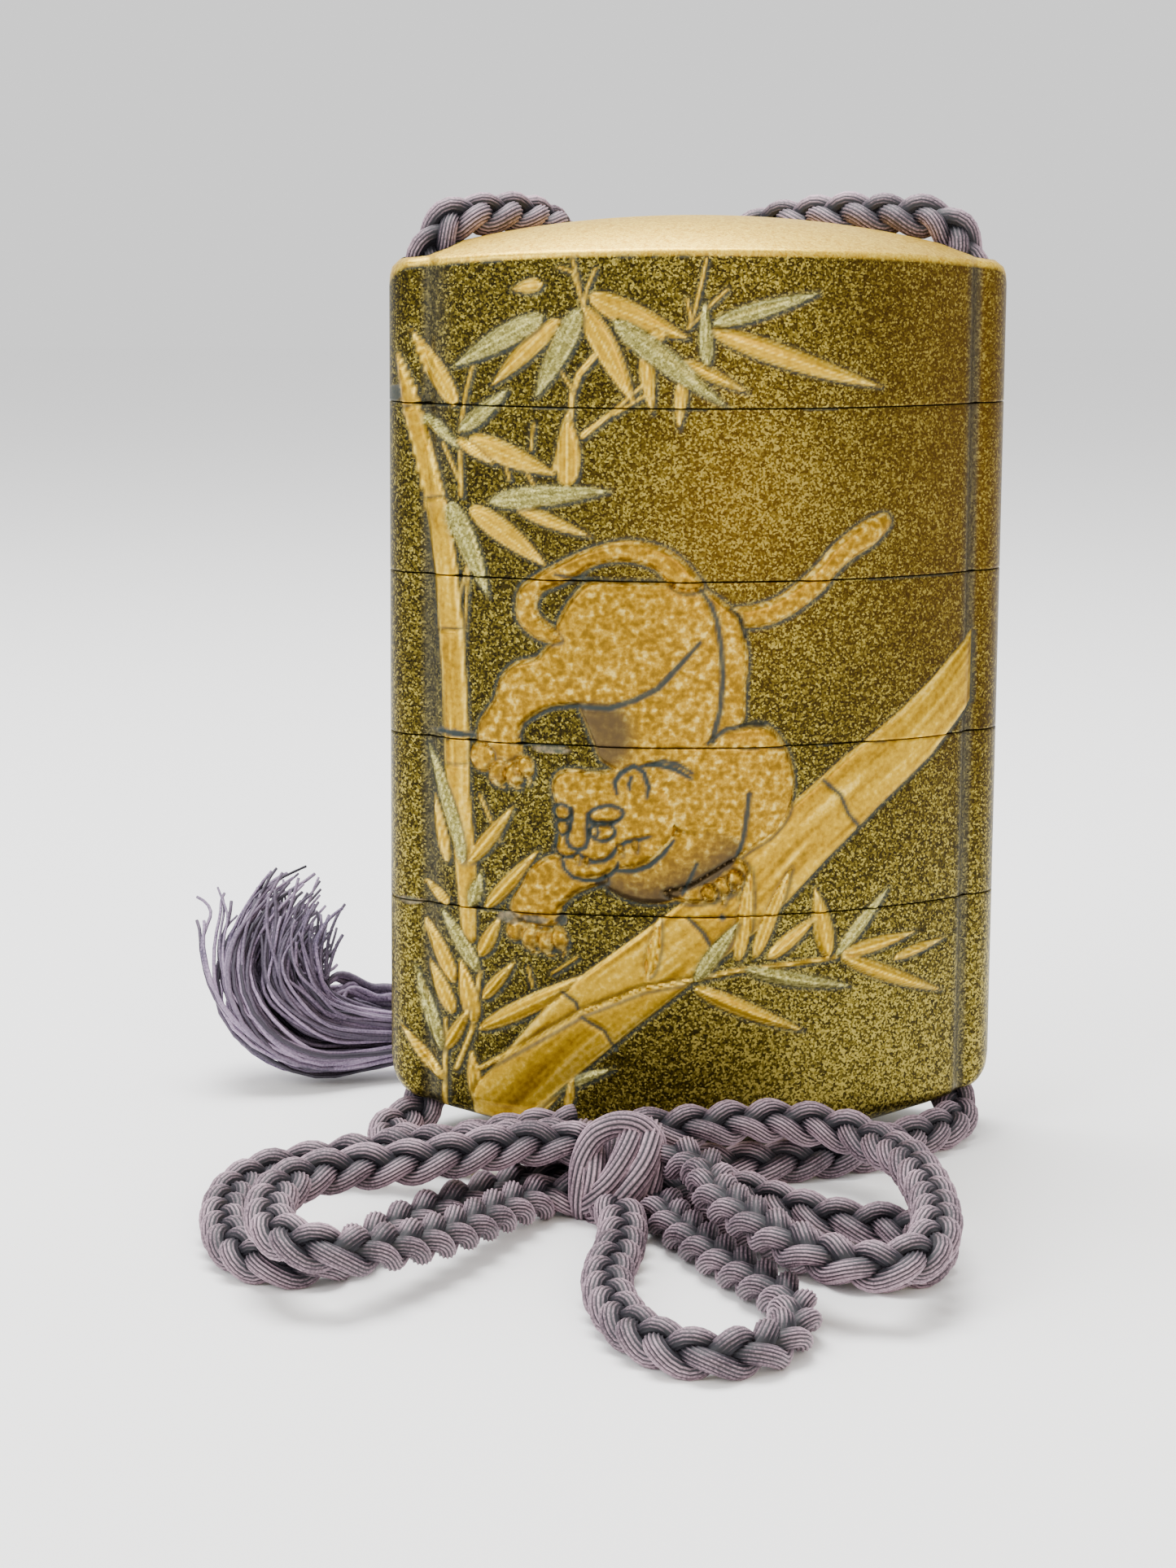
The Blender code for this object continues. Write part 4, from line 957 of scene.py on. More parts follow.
FRONT_LEAVES = (
    (2.7, 18.6, 83, 8.8, 1.5, "gold"), (4.3, 18.9, 69, 9.0, 1.4, "gold"),
    (5.6, 18.8, 39, 6.1, 1.4, "gold"), (11.4, 18.6, 102, 6.8, 1.8, "gold"),
    (12.3, 18.7, 50, 7.8, 1.2, "silver"), (12.7, 18.7, 11, 7.6, 1.3, "gold"),
    (18.1, 17.8, 14, 5.4, 0.9, "gold"), (12.7, 18.5, -23, 11.4, 1.4, "gold"),
    (3.4, 17.8, -12, 10.3, 1.4, "silver"), (-1.3, 16.1, -23, 11.2, 1.5, "gold"),
    (-1.3, 16.7, 55, 6.9, 1.6, "silver"), (-5.6, 17.3, 80, 5.8, 1.1, "gold"),
    (-13.0, 4.2, 82, 3.6, 0.8, "gold"))
LEFT_CULM = (
    (-28.3, 74.2, 0.3), (-27.4, 71.0, 1.4), (-27.1, 69.5, 1.6), (-26.2, 66.2, 1.7),
    (-25.1, 61.5, 1.8), (-24.5, 58.4, 1.9), (-24.0, 54.3, 2.0), (-23.6, 49.1, 2.1),
    (-23.3, 44.3, 2.1), (-23.1, 38.6, 2.2), (-23.0, 34.0, 2.1), (-22.3, 27.0, 1.8),
    (-22.0, 20.0, 1.2))
LEFT_CULM_RINGS = (4.8, 13.4, 25.6, 38.3)
GREAT_CULM = (
    (-19.0, 4.6, 5.2), (-12.8, 11.4, 6.6), (-9.2, 14.8, 6.8), (-2.4, 20.2, 6.6), (3.2, 24.6, 6.6),
    (8.8, 30.2, 6.4), (14.4, 35.0, 6.0), (19.6, 39.0, 5.6), (23.0, 42.3, 4.9), (26.6, 46.4, 4.0),
    (31.0, 52.0, 3.2))
GREAT_CULM_END = 25.7
GREAT_CULM_JOINTS = (
    ((10.6, 35.4, 0.3), (12.2, 34.0, 0.35), (13.0, 32.2, 0.3), (14.3, 30.7, 0.3)),
    ((-2.0, 22.8, 0.3), (-0.6, 21.4, 0.35), (0.2, 19.9, 0.3), (-1.3, 17.0, 0.2)),
    ((-13.5, 15.5, 0.3), (-12.2, 14.6, 0.35), (-11.7, 13.2, 0.3), (-9.6, 12.0, 0.3),
     (-8.6, 10.2, 0.3)))
TWIGS = (
    ((-20.9, 7.5, 0.45), (-11.7, 13.7, 0.5), (-6.2, 16.1, 0.5), (2.7, 17.7, 0.45), (12.3, 18.5, 0.35)),
    ((-12.9, 83.2, 0.22), (-12.5, 81.6, 0.25), (-12.0, 79.1, 0.3)),
    ((-14.1, 82.4, 0.18), (-12.9, 82.0, 0.22), (-12.2, 80.0, 0.25)),
    ((-10.9, 82.3, 0.2), (-11.6, 80.6, 0.24), (-11.9, 79.1, 0.26)),
    ((-1.0, 83.2, 0.2), (-1.3, 81.6, 0.25), (-2.0, 78.6, 0.28), (-2.5, 77.1, 0.3)),
    ((0.9, 80.5, 0.2), (-0.7, 79.0, 0.25), (-2.2, 77.4, 0.28)),
    ((-2.7, 79.6, 0.2), (-2.3, 77.8, 0.25)),
    ((-10.0, 75.6, 0.5), (-12.3, 72.8, 0.5), (-12.9, 70.9, 0.45), (-13.0, 69.0, 0.45), (-14.4, 64.2, 0.5)),
    ((-5.7, 72.8, 0.25), (-9.1, 69.6, 0.35), (-11.9, 67.3, 0.5)),
    ((-5.6, 71.5, 0.2), (-9.1, 69.3, 0.3)), ((-13.9, 73.1, 0.2), (-12.9, 71.5, 0.25)),
    ((-21.7, 73.3, 0.2), (-22.3, 70.9, 0.22), (-22.8, 67.4, 0.28)),
    ((-24.3, 66.2, 0.25), (-22.8, 62.7, 0.3)), ((-22.8, 65.6, 0.25), (-22.7, 61.5, 0.35)),
    ((-16.3, 68.2, 0.18), (-16.5, 65.9, 0.2)), ((-18.9, 64.9, 0.2), (-18.4, 63.2, 0.22)),
    ((-17.2, 64.4, 0.2), (-16.2, 62.6, 0.22)), ((-21.0, 16.8, 0.35), (-21.7, 11.1, 0.4), (-23.1, 7.2, 0.4)),
    ((-24.1, 11.8, 0.35), (-24.2, 4.2, 0.45)), ((-22.9, 52.0, 0.25), (-21.6, 57.4, 0.22)),
    ((-22.6, 46.0, 0.2), (-22.0, 56.0, 0.22)), ((-21.0, 33.6, 0.22), (-19.2, 29.4, 0.2)),
    ((-14.4, 17.2, 0.2), (-12.2, 18.8, 0.2)), ((-16.6, 17.6, 0.2), (-16.2, 15.8, 0.2)))


def lay_bamboo_behind(panel, x, z):
    """The bamboo that lies behind the tiger."""
    for route in TWIGS[1:]:
        lay_stem(panel, x, z, route, 0.14)
    lay_stem(panel, x, z, LEFT_CULM, 0.42, rings=LEFT_CULM_RINGS)
    for kind, leaves in (("gold", GOLD_LEAVES), ("silver", SILVER_LEAVES)):
        for px, pz, turn, length, width in leaves:
            lay_leaf(panel, x, z, (px, pz), turn, length, width, kind)
    lay_stem(panel, x, z, GREAT_CULM, 0.45, fibre=0.55, limit=GREAT_CULM_END)
    for route in GREAT_CULM_JOINTS:
        draw(panel, x, z, route)
    lay_stem(panel, x, z, TWIGS[0], 0.30)


def lay_bamboo_before(panel, x, z):
    """The leaves that cross the great culm."""
    for px, pz, turn, length, width, kind in FRONT_LEAVES:
        lay_leaf(panel, x, z, (px, pz), turn, length, width, kind)


print("leaves:", len(GOLD_LEAVES) + len(SILVER_LEAVES) + len(FRONT_LEAVES))

# %% [markdown]
# ## The tiger
# A tiger climbing down a culm is one of the oldest pairings in East Asian ornament. It is the highest
# relief on the panel: limbs that overlap, each with its own swell, and thick dark lines in the creases.
# Its outlines are short lists of points that a smooth curve joins. The trunk, shoulder, throat, haunch
# and head have no edge line of their own, so the body reads as one form.

# %% The tiger's limbs, from the back to the front
TAIL_FAR = (
    (1.2, 51.4), (3.7, 51.9), (5.5, 52.4), (7.3, 53.5), (8.6, 54.5), (10.0, 55.8), (10.8, 56.8),
    (12.6, 58.3), (14.3, 59.4), (16.3, 60.0), (16.9, 59.2), (15.5, 57.4), (13.2, 56.0), (11.6, 54.7),
    (10.6, 53.4), (9.2, 52.2), (7.4, 51.0), (5.3, 50.1), (3.0, 49.8), (1.0, 50.0))
TAIL_NEAR = (
    (-0.9, 53.6), (-1.8, 55.0), (-3.6, 56.7), (-5.9, 57.6), (-8.1, 57.8), (-10.7, 57.2),
    (-13.2, 56.1), (-16.4, 54.2), (-17.4, 53.3), (-17.8, 51.8), (-17.6, 50.2), (-16.6, 49.0),
    (-15.2, 48.3), (-13.6, 48.6), (-14.7, 49.9), (-15.7, 50.8), (-15.9, 51.8), (-15.4, 52.9),
    (-13.9, 53.6), (-12.4, 54.5), (-10.7, 55.5), (-8.6, 55.9), (-6.7, 55.7), (-5.1, 55.0),
    (-4.4, 54.2), (-3.0, 53.2))
FLANK_FAR = (
    (-1.6, 53.6), (-0.2, 53.0), (1.1, 52.1), (2.4, 50.9), (3.0, 48.9), (3.3, 46.9), (3.1, 44.3),
    (3.0, 41.3), (2.2, 39.6), (0.0, 39.4), (-1.6, 44.0), (-1.6, 50.0))
TRUNK = (
    (-2.0, 53.4), (-0.9, 52.9), (0.0, 51.4), (0.6, 49.2), (0.9, 46.8), (0.9, 44.0), (0.6, 41.6),
    (0.4, 38.6), (0.8, 35.0), (-2.0, 32.0), (-6.6, 33.5), (-9.0, 36.7), (-10.1, 37.5), (-10.8, 39.1),
    (-11.5, 40.9), (-12.1, 42.9), (-9.0, 45.0), (-5.0, 48.0))
HAUNCH = (
    (-1.2, 53.95), (-2.6, 54.05), (-5.0, 54.05), (-8.6, 54.0), (-11.4, 53.9), (-12.4, 53.0),
    (-13.4, 51.6), (-14.1, 50.1), (-14.4, 48.8), (-15.2, 47.7), (-15.9, 46.9), (-17.6, 46.4),
    (-18.4, 45.8), (-19.2, 44.7), (-19.7, 42.8), (-20.4, 41.7), (-21.0, 40.6), (-21.3, 38.7),
    (-21.2, 37.4), (-19.0, 36.6), (-17.2, 37.4), (-17.4, 39.5), (-17.0, 40.6), (-16.2, 41.4),
    (-14.6, 42.2), (-12.1, 42.6), (-9.4, 42.4), (-7.1, 43.2), (-5.0, 44.3), (-3.3, 46.2),
    (-1.2, 48.6), (0.0, 50.4), (-0.3, 52.4))
THROAT = (
    (-10.0, 27.6), (-6.9, 28.0), (-4.6, 30.2), (0.5, 31.4), (2.8, 29.6), (2.2, 27.4), (0.6, 26.0),
    (-1.6, 24.9), (-4.2, 24.2), (-6.8, 24.3), (-9.0, 25.2), (-10.4, 26.5))
SHOULDER = (
    (-0.6, 39.2), (1.2, 40.5), (3.3, 40.9), (5.1, 40.8), (6.5, 39.5), (7.4, 37.6), (7.8, 35.8),
    (7.6, 33.7), (6.9, 31.9), (5.6, 30.4), (4.0, 29.4), (2.4, 28.6), (0.2, 29.8), (-3.2, 31.0),
    (-4.6, 34.4), (-2.6, 37.6))
FORELEG = (
    (-13.4, 28.6), (-14.8, 28.3), (-16.3, 27.2), (-17.4, 25.2), (-18.1, 23.9), (-18.2, 22.8),
    (-17.4, 21.9), (-14.0, 21.9), (-13.5, 23.6), (-12.3, 24.8), (-10.7, 25.6), (-9.4, 26.2),
    (-10.0, 27.4))
RIGHT_PAW = (
    (-4.4, 25.3), (-2.0, 26.0), (0.2, 27.3), (2.4, 28.4), (3.5, 27.4), (3.2, 25.8), (1.4, 24.8),
    (-1.0, 24.2), (-3.2, 24.5))
HEAD = (
    (-14.1, 36.1), (-13.4, 36.5), (-12.2, 36.6), (-11.1, 36.4), (-9.5, 36.6), (-8.0, 36.9),
    (-6.2, 36.6), (-4.6, 35.4), (-3.4, 33.4), (-3.2, 31.6), (-3.5, 30.3), (-4.3, 29.4),
    (-5.5, 28.2), (-6.9, 27.5), (-8.4, 27.3), (-9.6, 26.8), (-10.8, 26.4), (-12.0, 26.4),
    (-13.0, 27.0), (-13.4, 28.0), (-14.2, 29.0), (-13.9, 30.2), (-14.1, 31.5), (-14.2, 33.4),
    (-14.5, 34.9))
# Each limb: outline, height, swell, how far in the swell reaches, and how dark its edge line and painted
# shadow are
LIMBS = (
    (TAIL_FAR, 0.34, 0.20, 0.8, 0.75), (FLANK_FAR, 0.36, 0.18, 1.0, 0.75),
    (TRUNK, 0.42, 0.26, 2.0, 0.0), (SHOULDER, 0.50, 0.34, 1.6, 0.0), (THROAT, 0.46, 0.26, 2.0, 0.0),
    (HAUNCH, 0.50, 0.36, 2.2, 0.0), (TAIL_NEAR, 0.42, 0.22, 0.8, 0.75),
    (RIGHT_PAW, 0.52, 0.16, 0.8, 0.75), (FORELEG, 0.50, 0.24, 1.4, 0.75), (HEAD, 0.62, 0.26, 1.4, 0.0))
# Toes and claws: middle, radii, turn
TOES = (
    (-20.7, 37.3, 1.15, 1.45, 10), (-19.2, 35.9, 0.95, 1.25, -20), (-17.9, 35.8, 0.85, 1.20, 0),
    (-16.9, 36.6, 0.75, 1.05, 15), (-17.6, 21.2, 0.95, 1.15, -25), (-16.3, 20.6, 0.85, 1.25, -10),
    (-15.0, 20.3, 0.80, 1.25, 0), (-13.8, 20.6, 0.75, 1.15, 15), (2.3, 26.4, 0.75, 1.0, 20),
    (1.1, 25.7, 0.70, 0.95, 20), (-0.1, 25.2, 0.70, 0.90, 20))
CLAWS = (
    ((-19.6, 35.2, 0.35), (-19.3, 34.7, 0.28), (-18.8, 34.5, 0.14)),
    ((-18.2, 35.0, 0.35), (-17.7, 34.6, 0.28), (-17.4, 34.5, 0.14)),
    ((-16.8, 35.8, 0.32), (-16.5, 35.3, 0.24), (-16.6, 34.9, 0.12)),
    ((-16.5, 19.7, 0.35), (-16.2, 19.2, 0.28), (-15.7, 19.1, 0.14)),
    ((-15.0, 19.4, 0.35), (-14.7, 18.9, 0.28), (-14.3, 18.9, 0.14)),
    ((-13.6, 19.8, 0.32), (-13.3, 19.3, 0.24), (-13.4, 18.8, 0.12)),
    ((2.6, 25.7, 0.30), (2.8, 25.1, 0.2), (2.6, 24.7, 0.12)),
    ((1.2, 25.0, 0.30), (1.3, 24.4, 0.2), (1.1, 24.1, 0.12)))
CREASES = (
    ((-17.4, 39.3, 0.2), (-17.0, 40.6, 0.25), (-14.6, 42.2, 0.3), (-12.1, 42.5, 0.38), (-9.4, 42.4, 0.45),
     (-7.1, 43.2, 0.5), (-5.0, 44.3, 0.5), (-3.3, 46.2, 0.45), (-1.2, 48.6, 0.25)),
    ((-1.2, 53.4, 0.3), (-0.3, 52.1, 0.4), (0.3, 50.6, 0.45), (0.7, 48.2, 0.45), (0.9, 45.4, 0.45),
     (0.7, 42.3, 0.45), (0.0, 39.4, 0.5)),
    ((-0.4, 39.2, 0.3), (1.2, 40.5, 0.4), (3.3, 40.9, 0.35), (5.1, 40.8, 0.25)),
    ((3.4, 34.5, 0.4), (3.2, 32.3, 0.45), (2.9, 30.1, 0.4), (2.4, 28.6, 0.35)),
    ((-6.0, 37.2, 0.3), (-4.5, 37.6, 0.35), (-3.1, 37.3, 0.4), (-1.8, 36.5, 0.2)),
    ((-1.3, 28.0, 0.25), (-1.9, 26.6, 0.3), (-2.6, 25.1, 0.25)),
    ((1.6, 51.6, 0.2), (2.4, 50.9, 0.35), (3.0, 48.9, 0.25)),
    ((-14.2, 54.6, 0.2), (-12.6, 54.3, 0.25), (-10.4, 54.2, 0.2)))
# Eyes and the bumps of the muzzle: middle, radii, turn
EYES = ((-9.52, 32.54, 1.56, 0.83, 9), (-13.49, 32.6, 0.84, 0.76, -8),
        (-9.84, 30.95, 1.12, 0.86, 0), (-13.45, 31.2, 0.64, 0.72, 0))
MUZZLE = ((-11.9, 31.0, 0.85, 2.3, 0), (-13.2, 29.25, 0.95, 0.8, -15), (-10.2, 29.15, 1.6, 0.95, 8),
          (-11.0, 27.3, 2.3, 0.85, 6), (-6.8, 28.7, 1.9, 1.1, 20))
FACE_LINES = (
    ((-12.58, 33.1, 0.2), (-12.53, 32.05, 0.32), (-12.79, 31.0, 0.34), (-13.05, 30.12, 0.34),
     (-12.71, 29.42, 0.36), (-12.01, 29.16, 0.38), (-11.32, 29.42, 0.36), (-11.14, 30.12, 0.36),
     (-11.2, 31.35, 0.34), (-11.14, 32.57, 0.25)),
    ((-14.10, 30.29, 0.3), (-14.18, 29.24, 0.34), (-13.84, 28.63, 0.34), (-13.14, 28.37, 0.34),
     (-12.36, 28.54, 0.34), (-12.05, 28.95, 0.34), (-11.58, 28.45, 0.36), (-10.71, 28.10, 0.38),
     (-9.66, 28.19, 0.38), (-8.97, 28.72, 0.38), (-8.62, 29.33, 0.38), (-7.75, 30.03, 0.38),
     (-6.54, 30.26, 0.34), (-5.58, 30.55, 0.2)),
    ((-13.49, 28.28, 0.3), (-13.23, 27.32, 0.36), (-12.44, 26.53, 0.38), (-11.40, 26.27, 0.4),
     (-10.18, 26.36, 0.4), (-9.14, 26.88, 0.38), (-8.53, 27.58, 0.34), (-8.40, 28.1, 0.2)),
    ((-8.53, 27.23, 0.34), (-7.05, 27.23, 0.42), (-5.66, 27.76, 0.45), (-4.45, 28.81, 0.42),
     (-3.40, 30.2, 0.2)),
    ((-8.55, 34.5, 0.2), (-8.80, 35.55, 0.42), (-8.27, 36.43, 0.45), (-7.06, 37.13, 0.42),
     (-6.19, 36.5, 0.45), (-5.75, 35.2, 0.42), (-5.90, 34.2, 0.2)),
    ((-7.3, 36.1, 0.25), (-7.5, 35.4, 0.36), (-7.45, 34.9, 0.2)),
    ((-6.3, 37.1, 0.3), (-4.97, 37.25, 0.42), (-3.40, 36.85, 0.45), (-1.9, 36.0, 0.25)),
    ((-10.35, 31.5, 0.22), (-10.2, 30.9, 0.34), (-10.35, 30.4, 0.2)),
    ((-11.0, 31.72, 0.3), (-9.66, 31.66, 0.34), (-8.5, 31.9, 0.25)),
    ((-14.2, 31.95, 0.25), (-12.8, 31.9, 0.3)))
FANGS = (((-8.27, 29.45, 0.42), (-8.1, 28.85, 0.12)), ((-6.97, 29.95, 0.42), (-6.85, 29.25, 0.12)),
         ((-12.1, 28.4, 0.4), (-12.05, 28.05, 0.14)), ((-11.3, 28.25, 0.36), (-11.25, 27.9, 0.12)))
THROAT_EDGE = ((-10.53, 25.92, 0), (-9.32, 24.87, 0), (-7.75, 24.17, 0), (-5.84, 23.99, 0),
               (-4.10, 24.34, 0), (-3.06, 24.87, 0), (-1.67, 25.57, 0), (-0.10, 26.27, 0), (2.16, 28.02, 0))
THROAT_TOP = ((2.9, 30.1), (-3.4, 31.0), (-4.6, 28.9), (-5.8, 27.8), (-8.5, 27.2), (-10.4, 26.2))
BELLY = (-10.3, 40.2, 3.1, 3.7, 18)
BELLY_LOW = 36.8
BELLY_HIGH = 43.0
RING_STOPS = 16
EYE_LINE = 0.34


def ring_of(middle_x, middle_z, radius_x, radius_z, turn):
    """Places round an ellipse, for a drawn line."""
    swing = math.radians(turn)
    places = []
    for step in range(RING_STOPS + 1):
        angle = 2 * math.pi * step / RING_STOPS
        a, b = radius_x * math.cos(angle), radius_z * math.sin(angle)
        places.append((middle_x + a * math.cos(swing) - b * math.sin(swing),
                       middle_z + a * math.sin(swing) + b * math.cos(swing), EYE_LINE))
    return places


def lay_tiger(panel, x, z):
    """The tiger, limb by limb."""
    whole = np.full(x.shape, -1e3)
    for outline, height, swell, reach, ink_and_shadow in LIMBS:
        depth = in_outline(x, z, outline)
        whole = np.maximum(whole, depth)
        lay(panel, depth, height, "fur", edge=0.2, swell=swell, reach=reach, ink_and_shadow=ink_and_shadow,
            groove=0.05 if ink_and_shadow else 0.0)
    panel["ink_and_shadow"] = np.maximum(panel["ink_and_shadow"], 0.75 * bell(whole + 0.18, 0.16))
    belly = soft_step(in_ellipse(x, z, *BELLY), 1.0) * soft_step(whole, 0.1)
    belly = 0.9 * belly * soft_step(BELLY_HIGH - z, 0.5) * soft_step(z - BELLY_LOW, 0.4)
    panel["shade"] = np.maximum(panel["shade"], belly)
    above = in_outline(x, z, [row[:2] for row in THROAT_EDGE] + list(THROAT_TOP))
    throat = bell(in_stem(x, z, THROAT_EDGE)[0], 2.8) * soft_step(above, 0.12)
    panel["shade"] = np.maximum(panel["shade"], throat)
    for toe in TOES:
        lay(panel, in_ellipse(x, z, *toe), 0.46, "fur", swell=0.2, reach=0.5, ink_and_shadow=0.85)
    for crease in CREASES:
        draw(panel, x, z, crease)
    for bump in EYES + MUZZLE:
        panel["height"] += 0.22 * np.sqrt(np.clip(in_ellipse(x, z, *bump) / min(bump[2:4]), 0, 1))
    for line in FACE_LINES + tuple(ring_of(*eye) for eye in EYES):
        draw(panel, x, z, line, ink_and_shadow=1.0, groove=0.14)
    for claw in FANGS + CLAWS:
        depth, _, _ = in_stem(x, z, claw)
        cover = lay(panel, depth, 0.45, "fur", edge=0.1, ink_and_shadow=0.6)
        panel["streak_and_highlight"] += cover * 0.9
    tuft = speckle(x + 0.4 * z, z, 0.55, 0.28, 21) + 0.6 * speckle(x - 0.3 * z, z, 0.3, 0.3, 22)
    fur = np.clip(panel["fur"], 0, 1) * (1 - panel["ink_and_shadow"])
    panel["height"] += 0.018 * tuft * fur
    panel["streak_and_highlight"] += 0.5 * tuft * fur


print("limbs:", len(LIMBS), "toes:", len(TOES))

# %% [markdown]
# ## Front and back
# The front carries the whole picture, the back only bamboo. Old lacquer chips first along the seams
# and at the rims, so a few chips are laid last, where they cut through everything.

# %% Both panels
# Each chip: middle, radii, turn, and how dark it is
CHIPS = (
    (-23.2, 39.35, 2.0, 0.34, -4, 1.0), (-14.6, 38.3, 1.5, 0.28, -3, 0.4),
    (-18.2, 22.3, 1.2, 0.55, 0, 0.45), (-16.1, 22.3, 1.3, 0.42, 0, 0.45), (-13.6, 22.4, 0.5, 0.5, 0, 0.9),
    (1.1, 22.9, 0.32, 0.32, 0, 1.0), (-28.6, 70.6, 0.5, 0.8, 0, 0.9), (-27.4, 22.9, 1.2, 0.3, 0, 0.35))
BACK_CULM = ((16.5, 4.0, 3.6), (17.6, 24.0, 3.5), (18.4, 44.0, 3.3), (18.8, 64.0, 3.0), (19.0, 75.0, 2.6))
BACK_LEAVES = (
    (15.8, 62.0, 140, 9.0, 1.8), (15.8, 62.0, 165, 10.0, 1.9), (15.8, 62.0, 200, 9.0, 1.8),
    (15.8, 62.0, 112, 6.5, 1.4), (14.6, 36.0, 150, 8.5, 1.7), (14.6, 36.0, 180, 9.5, 1.8),
    (14.6, 36.0, 215, 7.5, 1.6), (13.8, 13.0, 120, 7.5, 1.6), (13.8, 13.0, 150, 9.0, 1.7),
    (-19.5, 70.0, -20, 10.0, 1.9), (-19.5, 70.0, -55, 9.0, 1.8), (-19.5, 70.0, -95, 8.0, 1.7))
BACK_SILVER = (200, 180, -55, 150)
BACK_RINGS = (12.0, 29.0, 46.0, 62.0)
CHIP_DEPTH = 0.10


def front_panel(x, z):
    """Everything that is raised or drawn on the front."""
    panel = blank_panel(x.shape)
    lay_bamboo_behind(panel, x, z)
    lay_tiger(panel, x, z)
    lay_bamboo_before(panel, x, z)
    for px, pz, wide, tall, turn, dark in CHIPS:
        ragged = 0.16 * speckle(x, z, 0.35, 0.35, 31)
        depth = in_ellipse(x, z, px, pz, wide, tall, turn) + ragged * tall
        chip = soft_step(depth, 0.08)
        panel["chip"] = np.maximum(panel["chip"], chip * (1.0 - 0.5 * dark))
        panel["ink_and_shadow"] = np.maximum(panel["ink_and_shadow"] * (1 - chip), chip * dark)
        panel["height"] -= chip * CHIP_DEPTH
    return panel


def back_panel(x, z):
    """The plainer back: one culm, with leaves turned certain ways in silver-gold."""
    panel = blank_panel(x.shape)
    lay_stem(panel, x, z, BACK_CULM, 0.40, rings=BACK_RINGS)
    for px, pz, turn, length, width in BACK_LEAVES:
        kind = "silver" if turn in BACK_SILVER else "gold"
        lay_leaf(panel, x, z, (px, pz), turn, length, width, kind)
    return panel


print("chips:", len(CHIPS))

# %% [markdown]
# ## Gold-sprinkled lacquer
# The ground is black lacquer, sprinkled with gold powder while wet, then covered with clear lacquer
# and polished. Up close it is thousands of separate flecks, which one flat gold could never show, so
# each fleck is a cell of a Voronoi pattern with its own brightness. The raised picture is gold too, in
# other mixtures, and each vertex stores how much of each it needs: one material then paints it all.
# The vertices also store painted light: painted pools of light and shade and a warm painted highlight
# on the walls, painted reflection and shade with some wear in the flutes, and a painted highlight on
# the lid's top.

# %% Lacquer material
FLECK = 0.17


def lacquer_material():
    """Sprinkled gold ground, raised gold, greener silver-gold, fur, dark lines and chips, with painted
    light, shade and reflections.
    """
    made, tree, shader = blank("sprinkled_gold_lacquer")
    place = node(tree, "TexCoord").outputs["Object"]
    flecks = node(tree, "TexVoronoi", {"Vector": place, "Scale": 1 / (FLECK * MM)}, feature="F1")
    fleck = node(tree, "SeparateColor", {"Color": flecks.outputs["Color"]}).outputs[0]
    cloud = noise(tree, place, 9, 3.0)
    patch = noise(tree, place, 0.6, 4.0)
    fine = noise(tree, place, 0.35, 2.0)
    density_and_painted_light = maths(tree, "MULTIPLY_ADD", cloud, 0.4, -0.2)
    # Painted light and shade make the gold flecks brighter or darker in broad patches.
    density_and_painted_light = maths(tree, "MULTIPLY_ADD", stored(tree, "painted_light_and_shade"), 0.3, density_and_painted_light)
    ground = ramp_of(tree, maths(tree, "ADD", fleck, density_and_painted_light), GROUND_STOPS)
    # The amber that the warm painted highlight brings to the ground.
    highlight_amber = painted(tree, 0.5, ground, tint("#6e4a04"))
    ground = painted(tree, stored(tree, "warm_highlight"), ground, highlight_amber)
    worn = maths(tree, "MULTIPLY_ADD", patch, 0.5, 0.25)
    # The streaks carry a painted highlight along the edges of the raised shapes.
    streak_and_highlight = maths(tree, "MULTIPLY_ADD", stored(tree, "streak_and_highlight"), 0.33, worn)
    streak_and_highlight = maths(tree, "MULTIPLY_ADD", fine, 0.35, streak_and_highlight)
    streak_and_highlight = maths(tree, "SUBTRACT", streak_and_highlight, 0.17)
    grainy = maths(tree, "MULTIPLY_ADD", fleck, 0.35, streak_and_highlight)
    mottled = node(tree, "MapRange", {"Value": patch, "From Min": 0.30, "From Max": 0.74}).outputs[0]
    mottled = maths(tree, "MULTIPLY_ADD", stored(tree, "streak_and_highlight"), 0.4, mottled)
    fur = painted(tree, stored(tree, "shade"), ramp_of(tree, mottled, FUR_STOPS), tint("#4a3d2a"))
    # The flute's grey is painted reflection and shade with some wear, the pale finish is the lid top's
    # painted highlight, and the ink colour also paints the shadows beside raised shapes.
    finishes = (("flute", ramp_of(tree, grainy, FLUTE_WEAR_AND_REFLECTION_STOPS)), ("pale", ramp_of(tree, grainy, TOP_HIGHLIGHT_STOPS)),
                ("gold", ramp_of(tree, streak_and_highlight, GOLD_STOPS)),
                ("silver", ramp_of(tree, maths(tree, "SUBTRACT", grainy, 0.17), SILVER_STOPS)),
                ("fur", fur), ("chip", ramp_of(tree, patch, CHIP_STOPS)), ("ink_and_shadow", tint("#232c2a")))
    colour = ground
    for layer, finish in finishes:
        colour = painted(tree, stored(tree, layer), colour, finish)
    metal = node(tree, "MapRange", {"Value": stored(tree, "ink_and_shadow"), "To Min": METAL, "To Max": 0.0})
    grit = maths(tree, "ADD", fleck, fine)
    bump = node(tree, "Bump", {"Height": grit, "Strength": 0.25, "Distance": 0.03 * MM})
    fill(tree, shader, {"Base Color": colour, "Metallic": metal.outputs[0],
                        "Normal": bump.outputs["Normal"], "Roughness": 0.42, "Specular IOR Level": 0.2,
                        "Coat Weight": 0.05, "Coat Roughness": 0.2})
    return made


